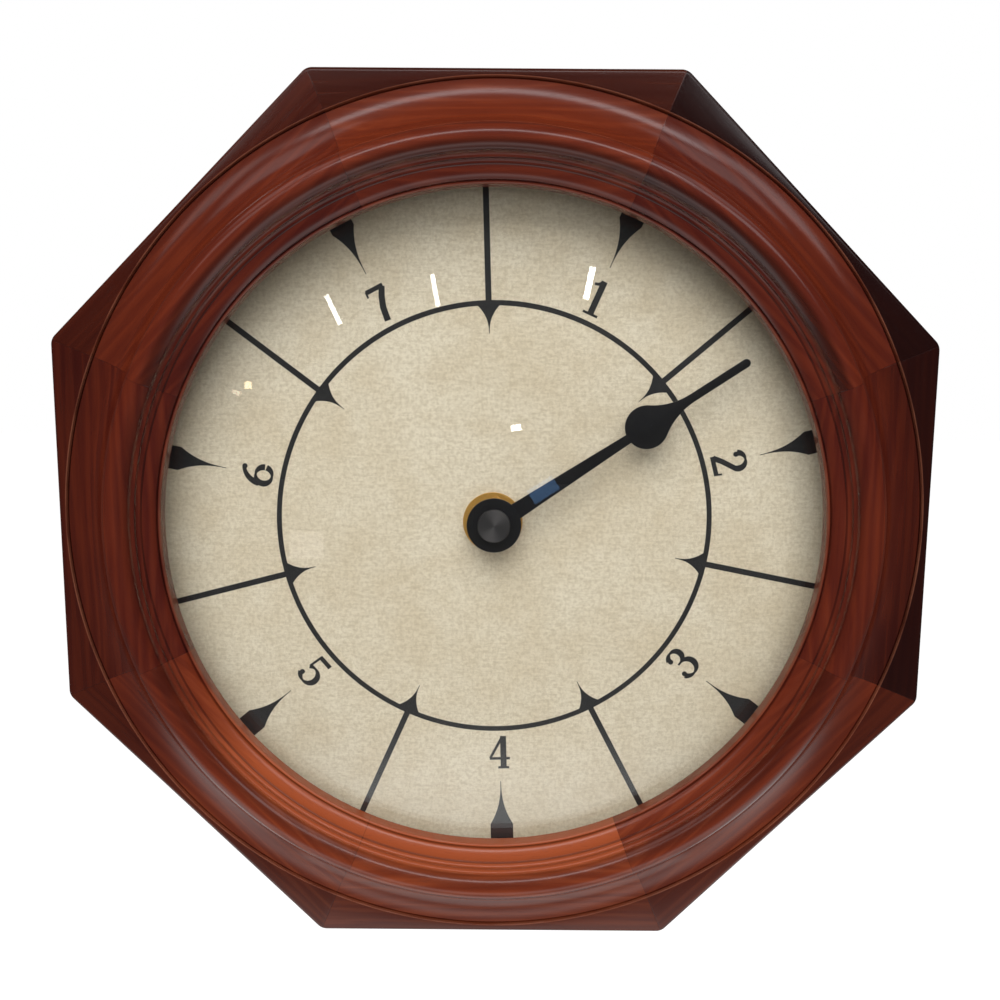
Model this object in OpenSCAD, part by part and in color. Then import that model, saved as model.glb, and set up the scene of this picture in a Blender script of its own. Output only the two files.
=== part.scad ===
// Eight-sided wooden wall clock with one hand that turns once a week.
// Lengths are millimetres, angles degrees. Each piece is drawn as it lies on the bench, dial up:
// X to the right, Y up the dial, Z from the wall towards the viewer, the hand's axis at X = Y = 0.
// hung() stands the clock on the wall, with the hanger's keyhole at the origin.

/* [Frame] */
// Octagon across its flats
frame_across_flats = 305; // [255:1:370]
// Plan radius of the octagon's corners
corner_r = 5; // [3:0.5:8]
// Rounding of the front arris
arris_r = 1.5; // [0.5:0.25:2.5]
// Flat between the octagon's sides and the turned ring
edge_land = 2.5; // [2:0.25:6]
// Depth of the octagon's flat face above the dial
dial_sink = 8.5; // [7:0.1:11]
// Width of the quirk outside the cove
quirk_w = 1.7; // [1.2:0.1:3]
// Depth of the quirk
quirk_depth = 1.6; // [1.1:0.1:2.5]
// Width of the cove
cove_w = 16.7; // [14:0.1:21]
// Rise of the cove from its foot to its head
cove_rise = 13.4; // [10:0.1:14]
// Radius of the bead that crowns the ring
bead_r = 5; // [4:0.1:6]
// Width of the two small reeds inside the bead
reeds_w = 3.15; // [2.5:0.05:4]
// Drop over the two small reeds
reeds_drop = 3.1; // [2.4:0.1:3.6]
// Width of the inner band
band_w = 4.8; // [3:0.1:6]
// Drop of the inner band
band_drop = 1.6; // [1:0.1:2]
// Radius of the lip's rounded edge
lip_round = 0.8; // [0.4:0.1:1]
// Height of the lip's underside above the octagon's face
lip_rise = 5.4; // [4.6:0.1:6.5]
// Width of the rabbet that holds the glass
rabbet_w = 9; // [8:0.5:11]
// Width of the shoulder that holds the dial board
shoulder_w = 8; // [7:0.5:9]

/* [Glass and dial] */
// Glass thickness
glass_t = 2.2; // [1.8:0.1:2.7]
// Rise of the domed glass over its rim
glass_rise = 13; // [10:0.5:15.6]
// Gap around a sheet in its rabbet
sheet_gap = 0.4; // [0.2:0.1:0.8]
// Thickness of the spacer strip
spacer_t = 1; // [0.6:0.1:1.2]
// Thickness of the dial card
card_t = 0.5; // [0.3:0.1:0.8]
// Thickness of the dial board
board_t = 3; // [2.5:0.1:4]

/* [Hand] */
// Gap from the hand's tip to the lip
hand_tip_gap = 9.1; // [7:0.1:12]
// Height of the hand above the dial
hand_standoff = 8.6; // [7.2:0.1:10.4]
// Thickness of the hand's blade
blade_t = 0.8; // [0.6:0.1:1.2]
// Blade width at the hub
blade_hub_w = 5.8; // [4.6:0.1:7]
// Blade width at the spade
blade_spade_w = 3.2; // [2.6:0.1:4]
// Radius of the spade's round
spade_r = 7.5; // [6:0.1:9]
// Distance from the tip back to the centre of the spade
spade_back = 41.3; // [34:0.1:50]
// Reach of the spade's hollow flanks beyond its centre
flank_reach = 18.5; // [16:0.1:22]
// Width of the bar beyond the spade
bar_w = 2.9; // [2.4:0.1:3.5]
// Radius of the hub disc
hub_disc_r = 9.5; // [8:0.1:11.4]
// Thickness of the hub disc
hub_disc_t = 1.2; // [1:0.1:1.6]
// Radius of the press-on cap
cap_r = 5.7; // [4.7:0.1:7]
// Height of the press-on cap
cap_h = 2.2; // [1.8:0.1:2.8]
// Angle of the hand at rest, clockwise from the top
hand_angle = 56.6; // [0:0.1:360]

/* [Fixings] */
// Outside radius of the threaded bush
bush_r = 3.95; // [3.4:0.05:4.8]
// Radius of the spindle
spindle_r = 2.25; // [1.8:0.05:2.7]
// Radius of the brass washer
washer_r = 10.65; // [9:0.05:13]
// Thickness of the brass washer
washer_t = 0.8; // [0.5:0.1:1]
// Nut across its flats
nut_af = 16.5; // [13.8:0.1:19.8]
// Nut thickness
nut_t = 2.6; // [2.2:0.1:3.2]
// Shank radius of the dial board's screws
board_screw_r = 1.5; // [1.25:0.05:1.8]
// Length of the dial board's screws under the head
board_screw_l = 10; // [8:0.5:12]
// Width of the hanger plate
hanger_w = 40; // [33:1:48]
// Height of the hanger plate
hanger_h = 18; // [17:0.5:20]
// Thickness of the hanger plate
hanger_t = 1.2; // [1:0.1:1.5]
// Radius of the keyhole's round end
keyhole_r = 4.5; // [4:0.1:5]
// Width of the keyhole's slot
keyhole_slot_w = 4.2; // [3.5:0.1:4.6]
// Length of the keyhole's slot, centre to centre
keyhole_rise = 7.6; // [7:0.1:8]
// Depth of the pocket behind the hanger plate
pocket_depth = 9; // [7:0.5:12]

/* [Movement] */
// Room for the sprung contact at the battery's flat end
contact_room = 2; // [1.6:0.1:3]
// Radius of the setting knob
knob_r = 5.4; // [4.5:0.1:6.5]
// Gap between the movement's back and the wall
case_back_gap = 0.6; // [0.4:0.1:1.2]
// Thickness of the case's front wall
case_front_t = 1.8; // [1.6:0.1:2.2]
// Thickness of the case's side walls
case_wall_t = 1.4; // [1.2:0.1:1.7]
// Thickness of the case's back cover
cover_t = 1.6; // [1.4:0.1:1.9]
// Battery diameter
battery_d = 14.5; // [12:0.1:17.5]
// Battery length over its nub
battery_l = 50.5; // [42:0.1:60.6]
// Gasket thickness
gasket_t = 0.8; // [0.5:0.1:1.2]
// Thickness of the train's wheels
wheel_t = 0.8; // [0.7:0.05:0.95]
// Radius of the train's pivots
pivot_r = 0.4; // [0.34:0.02:0.48]
// Running clearance of every pivot and shaft
run_gap = 0.05; // [0.03:0.01:0.06]

/* [Hidden] */
$fn = 96;
eps = 0.01;
seat_gap = 0.3;
shank_gap = 0.05;
press_gap = 0.02;
wood_tip_h = 3;
wood_tip_r = 0.2;

// Octagon and its turned section: radii from the hand's axis, heights from the wall
staves = 8;
stave_angle = 360 / staves;
apothem = frame_across_flats / 2;
turned_r = apothem - edge_land;
cove_foot_r = turned_r - quirk_w;
cove_head_r = cove_foot_r - cove_w;
fillet_w = 0.4;
bead_c_r = cove_head_r - fillet_w - bead_r;
bead_end_angle = 153;
bead_in_r = bead_c_r + bead_r * cos(bead_end_angle);
reeds_in_r = bead_in_r - reeds_w;
band_in_r = reeds_in_r - band_w;
opening_r = band_in_r - lip_round;
rabbet_r = opening_r + rabbet_w;
recess_r = rabbet_r + shoulder_w;

// The movement is as deep as its battery or its six wheels, one level apart, whichever needs more
battery_gap = 0.15;
cover_z = case_back_gap + cover_t;
boss_h = 1.3;
boss_top_z = cover_z + boss_h;
level = 1.8;
train_back_gap = 0.9;
train_front_gap = 2;
case_inner_z = max(case_back_gap + battery_d + 2 * battery_gap,
    boss_top_z + train_back_gap + 5 * level + train_front_gap);
case_front_z = case_inner_z + case_front_t;
board_back_z = case_front_z + gasket_t;
board_front_z = board_back_z + board_t;
dial_z = board_front_z + card_t;
face_z = dial_z + dial_sink;
cove_sink = 1;
cove_foot_z = face_z - cove_sink;
cove_r = (cove_w * cove_w + cove_rise * cove_rise) / (2 * cove_rise);
cove_head_z = cove_foot_z + cove_rise;
cove_head_angle = 270 - asin(cove_w / cove_r);
bead_lift = 0.3;
bead_c_z = cove_head_z + bead_lift;
bead_in_z = bead_c_z + bead_r * sin(bead_end_angle);
reeds_z = bead_in_z - reeds_drop;
band_in_z = reeds_z - band_drop;
lip_z = face_z + lip_rise;
crown_z = bead_c_z + bead_r;
corner_x = (apothem - corner_r) * tan(stave_angle / 2);
corner_y = apothem - corner_r;

// Dial card and strip, round the rabbet and the bush
card_gap = 0.3;
strip_gap = 0.2;
bush_hole_gap = 0.2;

// Glass: the front sphere touches the lip's edge, less the seat's gap
glass_r = rabbet_r - sheet_gap;
dome_r = (glass_r * glass_r + glass_rise * glass_rise) / (2 * glass_rise);
dome_c_z = lip_z - seat_gap - sqrt(dome_r * dome_r - opening_r * opening_r);
dome_in_r = dome_r - glass_t;
glass_back_z = dome_c_z + sqrt(dome_in_r * dome_in_r - glass_r * glass_r);

// Dial board's screws
board_screw_head_r = 2.6;
board_screw_head_h = 1.8;
board_screw_at = (rabbet_r + recess_r) / 2;

// Hanger: the keyhole's round end is the origin of the hung clock
hanger_y = (recess_r + apothem) / 2;
keyhole_y = hanger_y - keyhole_rise / 2;
pocket_r = 5.2;
bed_gap = 0.2;
hanger_screw_inset = 5.5;
hanger_screw_x = hanger_w / 2 - hanger_screw_inset;
hanger_screw_r = 1.4;
hanger_screw_head_r = 2.8;
hanger_screw_l = 11;

// Train: teeth, modules and places, from the rotor to the day wheel
tooth_add = 0.8;
tooth_ded = 1.2;
tip_share = 0.2;
root_share = 0.56;
leaves = 8;
first_teeth = 80;
second_teeth = 80;
third_teeth = 72;
fourth_teeth = 64;
fifth_teeth = 56;
day_teeth = 48;
setting_teeth = 12;
first_m = 0.2;
second_m = 0.2;
third_m = 0.22;
fourth_m = 0.25;
fifth_m = 0.28;
day_m = 0.3;
function mesh_distance(m, z1, z2) = m * (z1 + z2) / 2;
function along(from, length, angle) = from + length * [cos(angle), sin(angle)];
// Angle of a wheel whose gap meets the tooth of the wheel that it meshes with
function in_mesh(a0, z0, line, z1) = line + 180 + (180 - (a0 - line) * z0) / z1;
clutch_line = 60;
fourth_line = 4;
third_line = 61;
second_line = 179;
first_line = 179;
rotor_line = 181;
setting_line = -20;
clutch_at = along([0, 0], mesh_distance(day_m, leaves, day_teeth), clutch_line);
fourth_at = along(clutch_at, mesh_distance(fifth_m, leaves, fifth_teeth), fourth_line);
third_at = along(fourth_at, mesh_distance(fourth_m, leaves, fourth_teeth), third_line);
second_at = along(third_at, mesh_distance(third_m, leaves, third_teeth), second_line);
first_at = along(second_at, mesh_distance(second_m, leaves, second_teeth), first_line);
rotor_at = along(first_at, mesh_distance(first_m, leaves, first_teeth), rotor_line);
setting_at = along([0, 0], mesh_distance(day_m, setting_teeth, day_teeth), setting_line);
arbors = [rotor_at, first_at, second_at, third_at, fourth_at, clutch_at];
rotor_turn = 0;
first_turn = in_mesh(rotor_turn, leaves, rotor_line + 180, first_teeth);
second_turn = in_mesh(first_turn, leaves, first_line + 180, second_teeth);
third_turn = in_mesh(second_turn, leaves, second_line + 180, third_teeth);
fourth_turn = in_mesh(third_turn, leaves, third_line + 180, fourth_teeth);
fifth_turn = in_mesh(fourth_turn, leaves, fourth_line + 180, fifth_teeth);
day_turn = 0;
clutch_turn = in_mesh(day_turn, day_teeth, clutch_line, leaves);
setting_turn = in_mesh(day_turn, day_teeth, setting_line, setting_teeth);
// Heights of the six wheels, counted back from the case's front wall
day_wheel_z = case_inner_z - train_front_gap;
function wheel_z(place) = day_wheel_z - level * (6 - place);
cover_skin = 0.8;
front_skin = 0.7;
pivot_back_z = case_back_gap + cover_skin;
pivot_front_z = case_inner_z + case_front_t - front_skin;
pivot_end_gap = 0.3;
bearing_r = pivot_r + run_gap;
boss_r = 1.3;
clutch_shaft_r = 1.2;
setting_shaft_r = 1.5;
cup_gap_r = 0.6;
cup_wall_t = 0.9;
cup_r = knob_r + cup_gap_r;
cup_wall_r = cup_r + cup_wall_t;
knob_z = case_back_gap + seat_gap;
knob_h = 2.5;
knob_front_gap = 0.5;
cup_floor_t = 1.2;
cup_floor_z = knob_z + knob_h + knob_front_gap;
cup_top_z = cup_floor_z + cup_floor_t;

// Motor: rotor, stator and coil
magnet_r = 2.8;
magnet_rise = 1.6;
magnet_z = wheel_z(1) + magnet_rise;
magnet_h = 2.4;
rotor_shaft_r = 1.2;
stator_t = 0.8;
stator_rise = 0.6;
stator_z = magnet_z + stator_rise;
stator_hole_r = 3.3;
stator_ring_r = 4.3;
stator_arm_w = 4;
coil_x = -18.5;
coil_low_y = 4.5;
coil_high_y = 21.5;
coil_flange_r = 5.2;
coil_flange_t = 1;
coil_r = 4.6;
core_w = 3;
core_t = 1;
core_z = stator_z + stator_t;
core_over = 4.4;
motor_post_over = 2.4;
coil_z = core_z + core_t / 2;
bobbin_r = 2.4;
motor_post_r = 1.8;
motor_screw_r = 0.7;

// Case: as wide as the battery with its contacts or as the train, its bay below the works' room
battery_nub_r = 2.75;
battery_nub_l = 1;
contact_t = 0.4;
plate_gap = 0.1;
nub_gap = 0.2;
tongue_gap = 0.15;
room_gap = 0.9;
inner_half = max((battery_l + plate_gap + contact_t + nub_gap + contact_room) / 2,
    third_at[0] + third_m * (third_teeth / 2 + tooth_add) + room_gap);
case_half = inner_half + case_wall_t;
room_top_y = coil_high_y + motor_post_over + motor_post_r + room_gap;
case_top_y = room_top_y + case_wall_t;
cup_gap = 0.3;
room_y = setting_at[1] - cup_wall_r - cup_gap;
bay_wall_t = 1.2;
bay_side_gap = 0.3;
bay_w = battery_d + 2 * bay_side_gap;
bay_top_y = room_y - bay_wall_t;
bay_low_y = bay_top_y - bay_w;
case_low_y = bay_low_y - case_wall_t;
battery_y = bay_low_y + bay_w / 2;
battery_z = case_inner_z - battery_gap - battery_d / 2;
contact_face_x = inner_half - plate_gap - contact_t;
battery_x = contact_face_x - nub_gap - battery_nub_l;
battery_end_x = battery_x - battery_l + battery_nub_l;
case_post_r = 2;
post_inset = 1.8;
post_over_bay = 6;
cover_screw_r = 0.9;
cover_screw_head_r = 1.8;

// Circuit board, between the left wall and the setting knob's cup, and the two contacts' tails
circuit_peg_h = 0.8;
circuit_z = cover_z + circuit_peg_h;
circuit_t = 0.8;
circuit_side_gap = 4.6;
circuit_wall_gap = 0.2;
circuit_cup_gap = 1.15;
circuit_top_y = 1.4;
circuit_low = [circuit_side_gap - inner_half, room_y + circuit_wall_gap];
circuit_high = [setting_at[0] - cup_wall_r - circuit_cup_gap, circuit_top_y];
circuit_peg_r = 1.1;
peg_inset = 2;
circuit_pegs = [
    circuit_low + [peg_inset, peg_inset],
    [circuit_low[0] + peg_inset, circuit_high[1] - peg_inset],
    circuit_high - [peg_inset, peg_inset],
];
tail_w = 2;
tail_slot_gap = 0.5;
tail_slot_x = 1.4;
plus_tail_rise = 2.6;
plus_tail_z = circuit_z + circuit_t + plus_tail_rise;
minus_tail_z = circuit_z + circuit_t;

// Spindle, hand and cap
bush_rise = 5.4;
bush_top_z = dial_z + bush_rise;
bush_bore_r = spindle_r + run_gap;
bush_waist = 0.4;
flange_over = 2;
flange_t = 0.75;
flange_gap = 0.05;
hand_z = dial_z + hand_standoff;
hand_length = opening_r - hand_tip_gap;
spade_y = hand_length - spade_back;
flank_r = (flank_reach * flank_reach + bar_w * bar_w / 4 - spade_r * spade_r)
    / (2 * spade_r - bar_w);
flank_c = [flank_reach, bar_w / 2 + flank_r];
flank_touch = flank_c * spade_r / (spade_r + flank_r);
spindle_tip_r = 1.5;
collet_r = 3.4;
collet_h = 2.2;
washer_shift = 0.5;

// Stands the bench drawing on the wall, front to -Y, with the keyhole at the origin
module hung() {
    translate([0, 0, -keyhole_y]) rotate([90, 0, 0]) children();
}

// Points on an arc about c
function arc(c, r, from, to, steps) = [
    for (i = [0:steps]) let (a = from + (to - from) * i / steps) c + r * [cos(a), sin(a)]
];
// Points on a shallow bow from p to q, standing off their chord by sag
function bow(p, q, sag, steps) = [
    for (i = [0:steps]) let (t = i / steps, d = q - p)
        p + d * t + 4 * sag * t * (1 - t) * [-d[1], d[0]] / norm(d)
];

// A tube between two heights
module ring(outer, inner, low, high) {
    difference() {
        translate([0, 0, low]) cylinder(r = outer, h = high - low);
        translate([0, 0, low - 1]) cylinder(r = inner, h = high - low + 2);
    }
}
module disc(r, low, high) {
    translate([0, 0, low]) cylinder(r = r, h = high - low);
}
// A round bar of the given radius between two heights, at a place
module bar_at(at, r, low, high) {
    translate([at[0], at[1], 0]) disc(r, low, high);
}
// A block from one corner to the other
module block(low, high) {
    translate(low) cube(high - low);
}

// ---- Wooden frame ----

// The ring's section with its back, as cut by one knife
module stave_section() {
    reed_step = [bead_in_r - reeds_in_r, bead_in_z - reeds_z] / 2;
    quirk_foot = [reeds_in_r + 0.2, reeds_z + 0.3];
    polygon(concat(
        [[opening_r, lip_z]],
        arc([opening_r + lip_round, band_in_z - lip_round - 0.4], lip_round, 180, 90, 5),
        bow([band_in_r + 0.2, band_in_z], [reeds_in_r - 0.2, reeds_z], 0.45, 7),
        bow(quirk_foot, quirk_foot + reed_step * 0.9, -0.35, 5),
        bow(quirk_foot + reed_step * 0.95, [bead_in_r - 0.2, bead_in_z - 0.3], -0.35, 5),
        arc([bead_c_r, bead_c_z], bead_r, bead_end_angle, 0, 18),
        [[cove_head_r, cove_head_z]],
        arc([cove_foot_r, cove_foot_z + cove_r], cove_r, cove_head_angle, 270, 18),
        [[turned_r - quirk_w * 0.65, face_z - quirk_depth],
         [turned_r - 0.4, face_z - quirk_depth + 0.2],
         [turned_r, face_z],
         [apothem * 1.2, face_z],
         [apothem * 1.2, 0],
         [recess_r, 0],
         [recess_r, board_front_z],
         [rabbet_r, board_front_z],
         [rabbet_r, lip_z]]
    ));
}

// Plan of one side of the octagon with its rounded corners, drawn in by inset
module side_plan(inset) {
    translate([-corner_x, 0]) square([2 * corner_x, apothem - inset]);
    for (side = [-1, 1])
        translate([side * corner_x, corner_y]) circle(r = corner_r - inset);
}

// Everything that a stave may fill: the octagon with its rounded arris, and the turned ring
module side_blank() {
    linear_extrude(face_z - arris_r) side_plan(0);
    linear_extrude(face_z) side_plan(arris_r);
    translate([-corner_x, apothem - arris_r, face_z - arris_r]) rotate([0, 90, 0])
        cylinder(r = arris_r, h = 2 * corner_x);
    for (side = [-1, 1])
        translate([side * corner_x, corner_y, face_z - arris_r]) rotate_extrude()
            translate([corner_r - arris_r, 0]) intersection() {
                circle(r = arris_r);
                translate([-arris_r / 2, -arris_r]) square(2 * arris_r);
            }
    disc(turned_r, 0, crown_z + 1);
}

module stave(place) {
    color([0.36, 0.13, 0.08]) rotate([0, 0, -stave_angle * place]) difference() {
        intersection() {
            rotate([0, 0, 90 - stave_angle / 2]) rotate_extrude(angle = stave_angle) stave_section();
            side_blank();
        }
        bar_at([0, board_screw_at], board_screw_r, board_front_z - 1,
            board_back_z + board_screw_l + 0.5);
    }
}

// The top stave is also cut for the hanger plate and the head of the wall screw
module top_stave() {
    color([0.36, 0.13, 0.08]) difference() {
        stave(0);
        block([-hanger_w / 2 - bed_gap, hanger_y - hanger_h / 2 - bed_gap, -1],
            [hanger_w / 2 + bed_gap, hanger_y + hanger_h / 2 + bed_gap, hanger_t]);
        for (y = [keyhole_y, keyhole_y + keyhole_rise]) bar_at([0, y], pocket_r, -1, pocket_depth);
        block([-pocket_r, keyhole_y, -1], [pocket_r, keyhole_y + keyhole_rise, pocket_depth]);
        for (side = [-1, 1])
            bar_at([side * hanger_screw_x, hanger_y], hanger_screw_r, -1, hanger_screw_l + 0.5);
    }
}

module hanger_plate() {
    color("gainsboro") difference() {
        block([-hanger_w / 2, hanger_y - hanger_h / 2, 0],
            [hanger_w / 2, hanger_y + hanger_h / 2, hanger_t]);
        bar_at([0, keyhole_y], keyhole_r, -1, hanger_t + 1);
        bar_at([0, keyhole_y + keyhole_rise], keyhole_slot_w / 2, -1, hanger_t + 1);
        block([-keyhole_slot_w / 2, keyhole_y, -1],
            [keyhole_slot_w / 2, keyhole_y + keyhole_rise, hanger_t + 1]);
        for (side = [-1, 1]) translate([side * hanger_screw_x, hanger_y, -eps])
            cylinder(r1 = hanger_screw_head_r, r2 = hanger_screw_r + 0.1, h = hanger_t + 2 * eps);
    }
}

// A cross recess, cut into a screw's head from its face at z = 0 upwards
module cross_recess(width, depth) {
    for (turn = [0, 90]) rotate([0, 0, turn])
        translate([-width / 2, -width / 8, -1]) cube([width, width / 4, depth + 1]);
}

module hanger_screws() {
    shank_r = hanger_screw_r - shank_gap;
    color("silver") for (side = [-1, 1]) translate([side * hanger_screw_x, hanger_y, 0])
        difference() {
            union() {
                cylinder(r1 = hanger_screw_head_r - 0.1, r2 = shank_r, h = hanger_t);
                disc(shank_r, hanger_t - eps, hanger_screw_l - wood_tip_h);
                translate([0, 0, hanger_screw_l - wood_tip_h - eps])
                    cylinder(r1 = shank_r, r2 = wood_tip_r, h = wood_tip_h);
            }
            cross_recess(3, 0.8);
        }
}

// ---- Glass, dial and its board ----

module glass_dome() {
    color([0.85, 0.9, 0.9, 0.25]) translate([0, 0, dome_c_z]) rotate_extrude() intersection() {
        difference() {
            circle(r = dome_r);
            circle(r = dome_in_r);
        }
        square([glass_r, dome_r * 2]);
    }
}

module spacer_strip() {
    outer = rabbet_r - card_gap;
    color([0.16, 0.14, 0.13]) ring(outer, outer - spacer_t, dial_z, glass_back_z - strip_gap);
}

module dial_card() {
    color([0.83, 0.79, 0.68])
        ring(rabbet_r - card_gap, bush_r + bush_hole_gap, board_front_z, dial_z);
}

module dial_board() {
    color([0.55, 0.42, 0.3]) difference() {
        ring(recess_r - sheet_gap, bush_r + bush_hole_gap, board_back_z, board_front_z);
        for (place = [0:staves - 1]) rotate([0, 0, -stave_angle * place])
            bar_at([0, board_screw_at], board_screw_r + 0.2, board_back_z - 1, board_front_z + 1);
    }
}

module board_screws() {
    shank_r = board_screw_r - shank_gap;
    color("goldenrod") for (place = [0:staves - 1]) rotate([0, 0, -stave_angle * place])
        translate([0, board_screw_at, board_back_z]) difference() {
            union() {
                disc(board_screw_head_r, -board_screw_head_h / 2, 0);
                translate([0, 0, -board_screw_head_h])
                    cylinder(r1 = board_screw_head_r - 0.9, r2 = board_screw_head_r,
                        h = board_screw_head_h / 2);
                disc(shank_r, -eps, board_screw_l - wood_tip_h);
                translate([0, 0, board_screw_l - wood_tip_h - eps])
                    cylinder(r1 = shank_r, r2 = wood_tip_r, h = wood_tip_h);
            }
            translate([0, 0, -board_screw_head_h]) cross_recess(3, 1);
        }
}

// ---- Movement: case, battery and circuit ----

// A plate with rounded corners, from one corner of its plan to the other
module rounded_plate(from, to, r, low, high) {
    block([from[0], from[1] + r, low], [to[0], to[1] - r, high]);
    block([from[0] + r, from[1], low], [to[0] - r, to[1], high]);
    for (x = [from[0] + r, to[0] - r], y = [from[1] + r, to[1] - r]) bar_at([x, y], r, low, high);
}

module case_gasket() {
    inset = 8;
    round_r = 4;
    hole_gap = 0.6;
    half = case_half - inset;
    color([0.1, 0.1, 0.1]) difference() {
        rounded_plate([-half, -half], [half, half], round_r, case_front_z, board_back_z);
        disc(bush_r + hole_gap, case_front_z - 1, board_back_z + 1);
    }
}

// Places of the four screws that close the case
case_posts = [
    for (y = [room_top_y - post_inset, room_y + post_over_bay], side = [-1, 1])
        [side * (inner_half - post_inset), y]
];
motor_posts = [[coil_x, coil_low_y - motor_post_over], [coil_x, coil_high_y + motor_post_over]];

module front_case() {
    round_r = 3;
    post_hole_l = 8;
    motor_hole_l = 4;
    color([0.12, 0.12, 0.13]) difference() {
        union() {
            difference() {
                rounded_plate([-case_half, case_low_y], [case_half, case_top_y], round_r,
                    case_back_gap, case_front_z);
                block([-inner_half, bay_low_y, case_back_gap - 1],
                    [inner_half, room_top_y, case_inner_z]);
            }
            block([-inner_half - eps, bay_top_y, case_back_gap],
                [inner_half + eps, room_y, case_inner_z + eps]);
            for (at = case_posts) bar_at(at, case_post_r, cover_z, case_inner_z + eps);
            for (at = motor_posts) bar_at(at, motor_post_r, core_z + core_t, case_inner_z + eps);
        }
        for (at = case_posts) bar_at(at, cover_screw_r, cover_z - 1, cover_z + post_hole_l);
        for (at = motor_posts) bar_at(at, motor_screw_r, core_z, core_z + core_t + motor_hole_l);
        for (at = arbors) bar_at(at, bearing_r, case_inner_z - 1, pivot_front_z + pivot_end_gap);
        bar_at(setting_at, setting_shaft_r + run_gap, case_inner_z - 1, pivot_front_z + pivot_end_gap);
        disc(bush_r - bush_waist + flange_gap, case_inner_z - 1, case_front_z + 1);
        disc(bush_r + flange_over + flange_gap, case_inner_z - 1, case_inner_z + flange_t + flange_gap);
        // Slots in the bay's wall for the two contact tails
        block([-inner_half, bay_top_y - 1, minus_tail_z - tail_slot_gap],
            [-inner_half + tail_slot_x, room_y + 1, minus_tail_z + tail_w + tail_slot_gap]);
        block([inner_half - tail_slot_x, bay_top_y - 1, plus_tail_z - tail_slot_gap],
            [inner_half, room_y + 1, plus_tail_z + tail_w + tail_slot_gap]);
    }
}

// Brass bush with its flange inside the case and ring grooves for the thread
module threaded_bush() {
    pitch = 0.75;
    thread_low = board_back_z - 0.2;
    turns = floor((bush_top_z - 0.6 - thread_low) / pitch);
    thread_depth = 0.3;
    color("darkgoldenrod") rotate_extrude() polygon(concat(
        [[bush_bore_r, case_inner_z],
         [bush_r + flange_over, case_inner_z],
         [bush_r + flange_over, case_inner_z + flange_t],
         [bush_r - bush_waist, case_inner_z + flange_t],
         [bush_r - bush_waist, case_front_z],
         [bush_r - 0.1, case_front_z]],
        [for (i = [0:turns - 1], half = [0, 1])
            [bush_r - (half == 0 ? thread_depth : 0), thread_low + (i + half / 2) * pitch]],
        [[bush_r - thread_depth, thread_low + turns * pitch],
         [bush_r - 0.5, bush_top_z],
         [bush_bore_r, bush_top_z]]
    ));
}

module back_cover() {
    gap = 0.1;
    color([0.14, 0.14, 0.15]) difference() {
        union() {
            block([-inner_half + gap, room_y + gap, case_back_gap],
                [inner_half - gap, room_top_y - gap, cover_z]);
            for (at = arbors) bar_at(at, boss_r, cover_z - eps, boss_top_z);
            bar_at(setting_at, cup_wall_r, case_back_gap, cup_top_z);
            for (at = circuit_pegs) bar_at(at, circuit_peg_r, cover_z - eps, circuit_z);
        }
        for (at = arbors) bar_at(at, bearing_r, pivot_back_z - 0.2, boss_top_z + 1);
        bar_at(setting_at, cup_r, case_back_gap - 1, cup_floor_z);
        bar_at(setting_at, setting_shaft_r + run_gap, case_back_gap, cup_top_z + 1);
        for (at = case_posts) {
            bar_at(at, cover_screw_head_r + 0.15, case_back_gap - 1, case_back_gap + 0.9);
            bar_at(at, cover_screw_r + 0.15, case_back_gap - 1, cover_z + 1);
        }
    }
}

module cover_screws() {
    shank_r = cover_screw_r - shank_gap;
    head_h = 0.9;
    color("silver") for (at = case_posts) translate([at[0], at[1], 0]) difference() {
        union() {
            disc(cover_screw_head_r, case_back_gap, case_back_gap + head_h);
            disc(shank_r, case_back_gap + head_h / 2, cover_z + 7);
        }
        translate([0, 0, case_back_gap]) cross_recess(2.2, 0.5);
    }
}

module battery() {
    body_l = battery_l - battery_nub_l;
    bevel = 0.5;
    color([0.75, 0.72, 0.66]) translate([battery_x, battery_y, battery_z]) rotate([0, -90, 0])
        rotate_extrude() polygon([
            [0, -battery_nub_l + eps], [battery_nub_r, -battery_nub_l + eps], [battery_nub_r, 0],
            [battery_d / 2 - bevel, 0], [battery_d / 2, bevel],
            [battery_d / 2, body_l - bevel], [battery_d / 2 - bevel, body_l], [0, body_l],
        ]);
}

module contact_plus() {
    plate_x = inner_half - plate_gap;
    plate_half = 5;
    tail_y = room_y + 0.2;
    foot_x = circuit_high[0] - 3;
    color("silver") {
        block([contact_face_x, battery_y - plate_half, battery_z - plate_half],
            [plate_x, battery_y + plate_half, battery_z + plate_half]);
        block([contact_face_x, battery_y, plus_tail_z],
            [plate_x, tail_y + contact_t, plus_tail_z + tail_w]);
        block([foot_x, tail_y, plus_tail_z], [plate_x, tail_y + contact_t, plus_tail_z + tail_w]);
        block([foot_x, tail_y, circuit_z + circuit_t],
            [foot_x + 1.5, tail_y + contact_t, plus_tail_z + 1]);
    }
}

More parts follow.
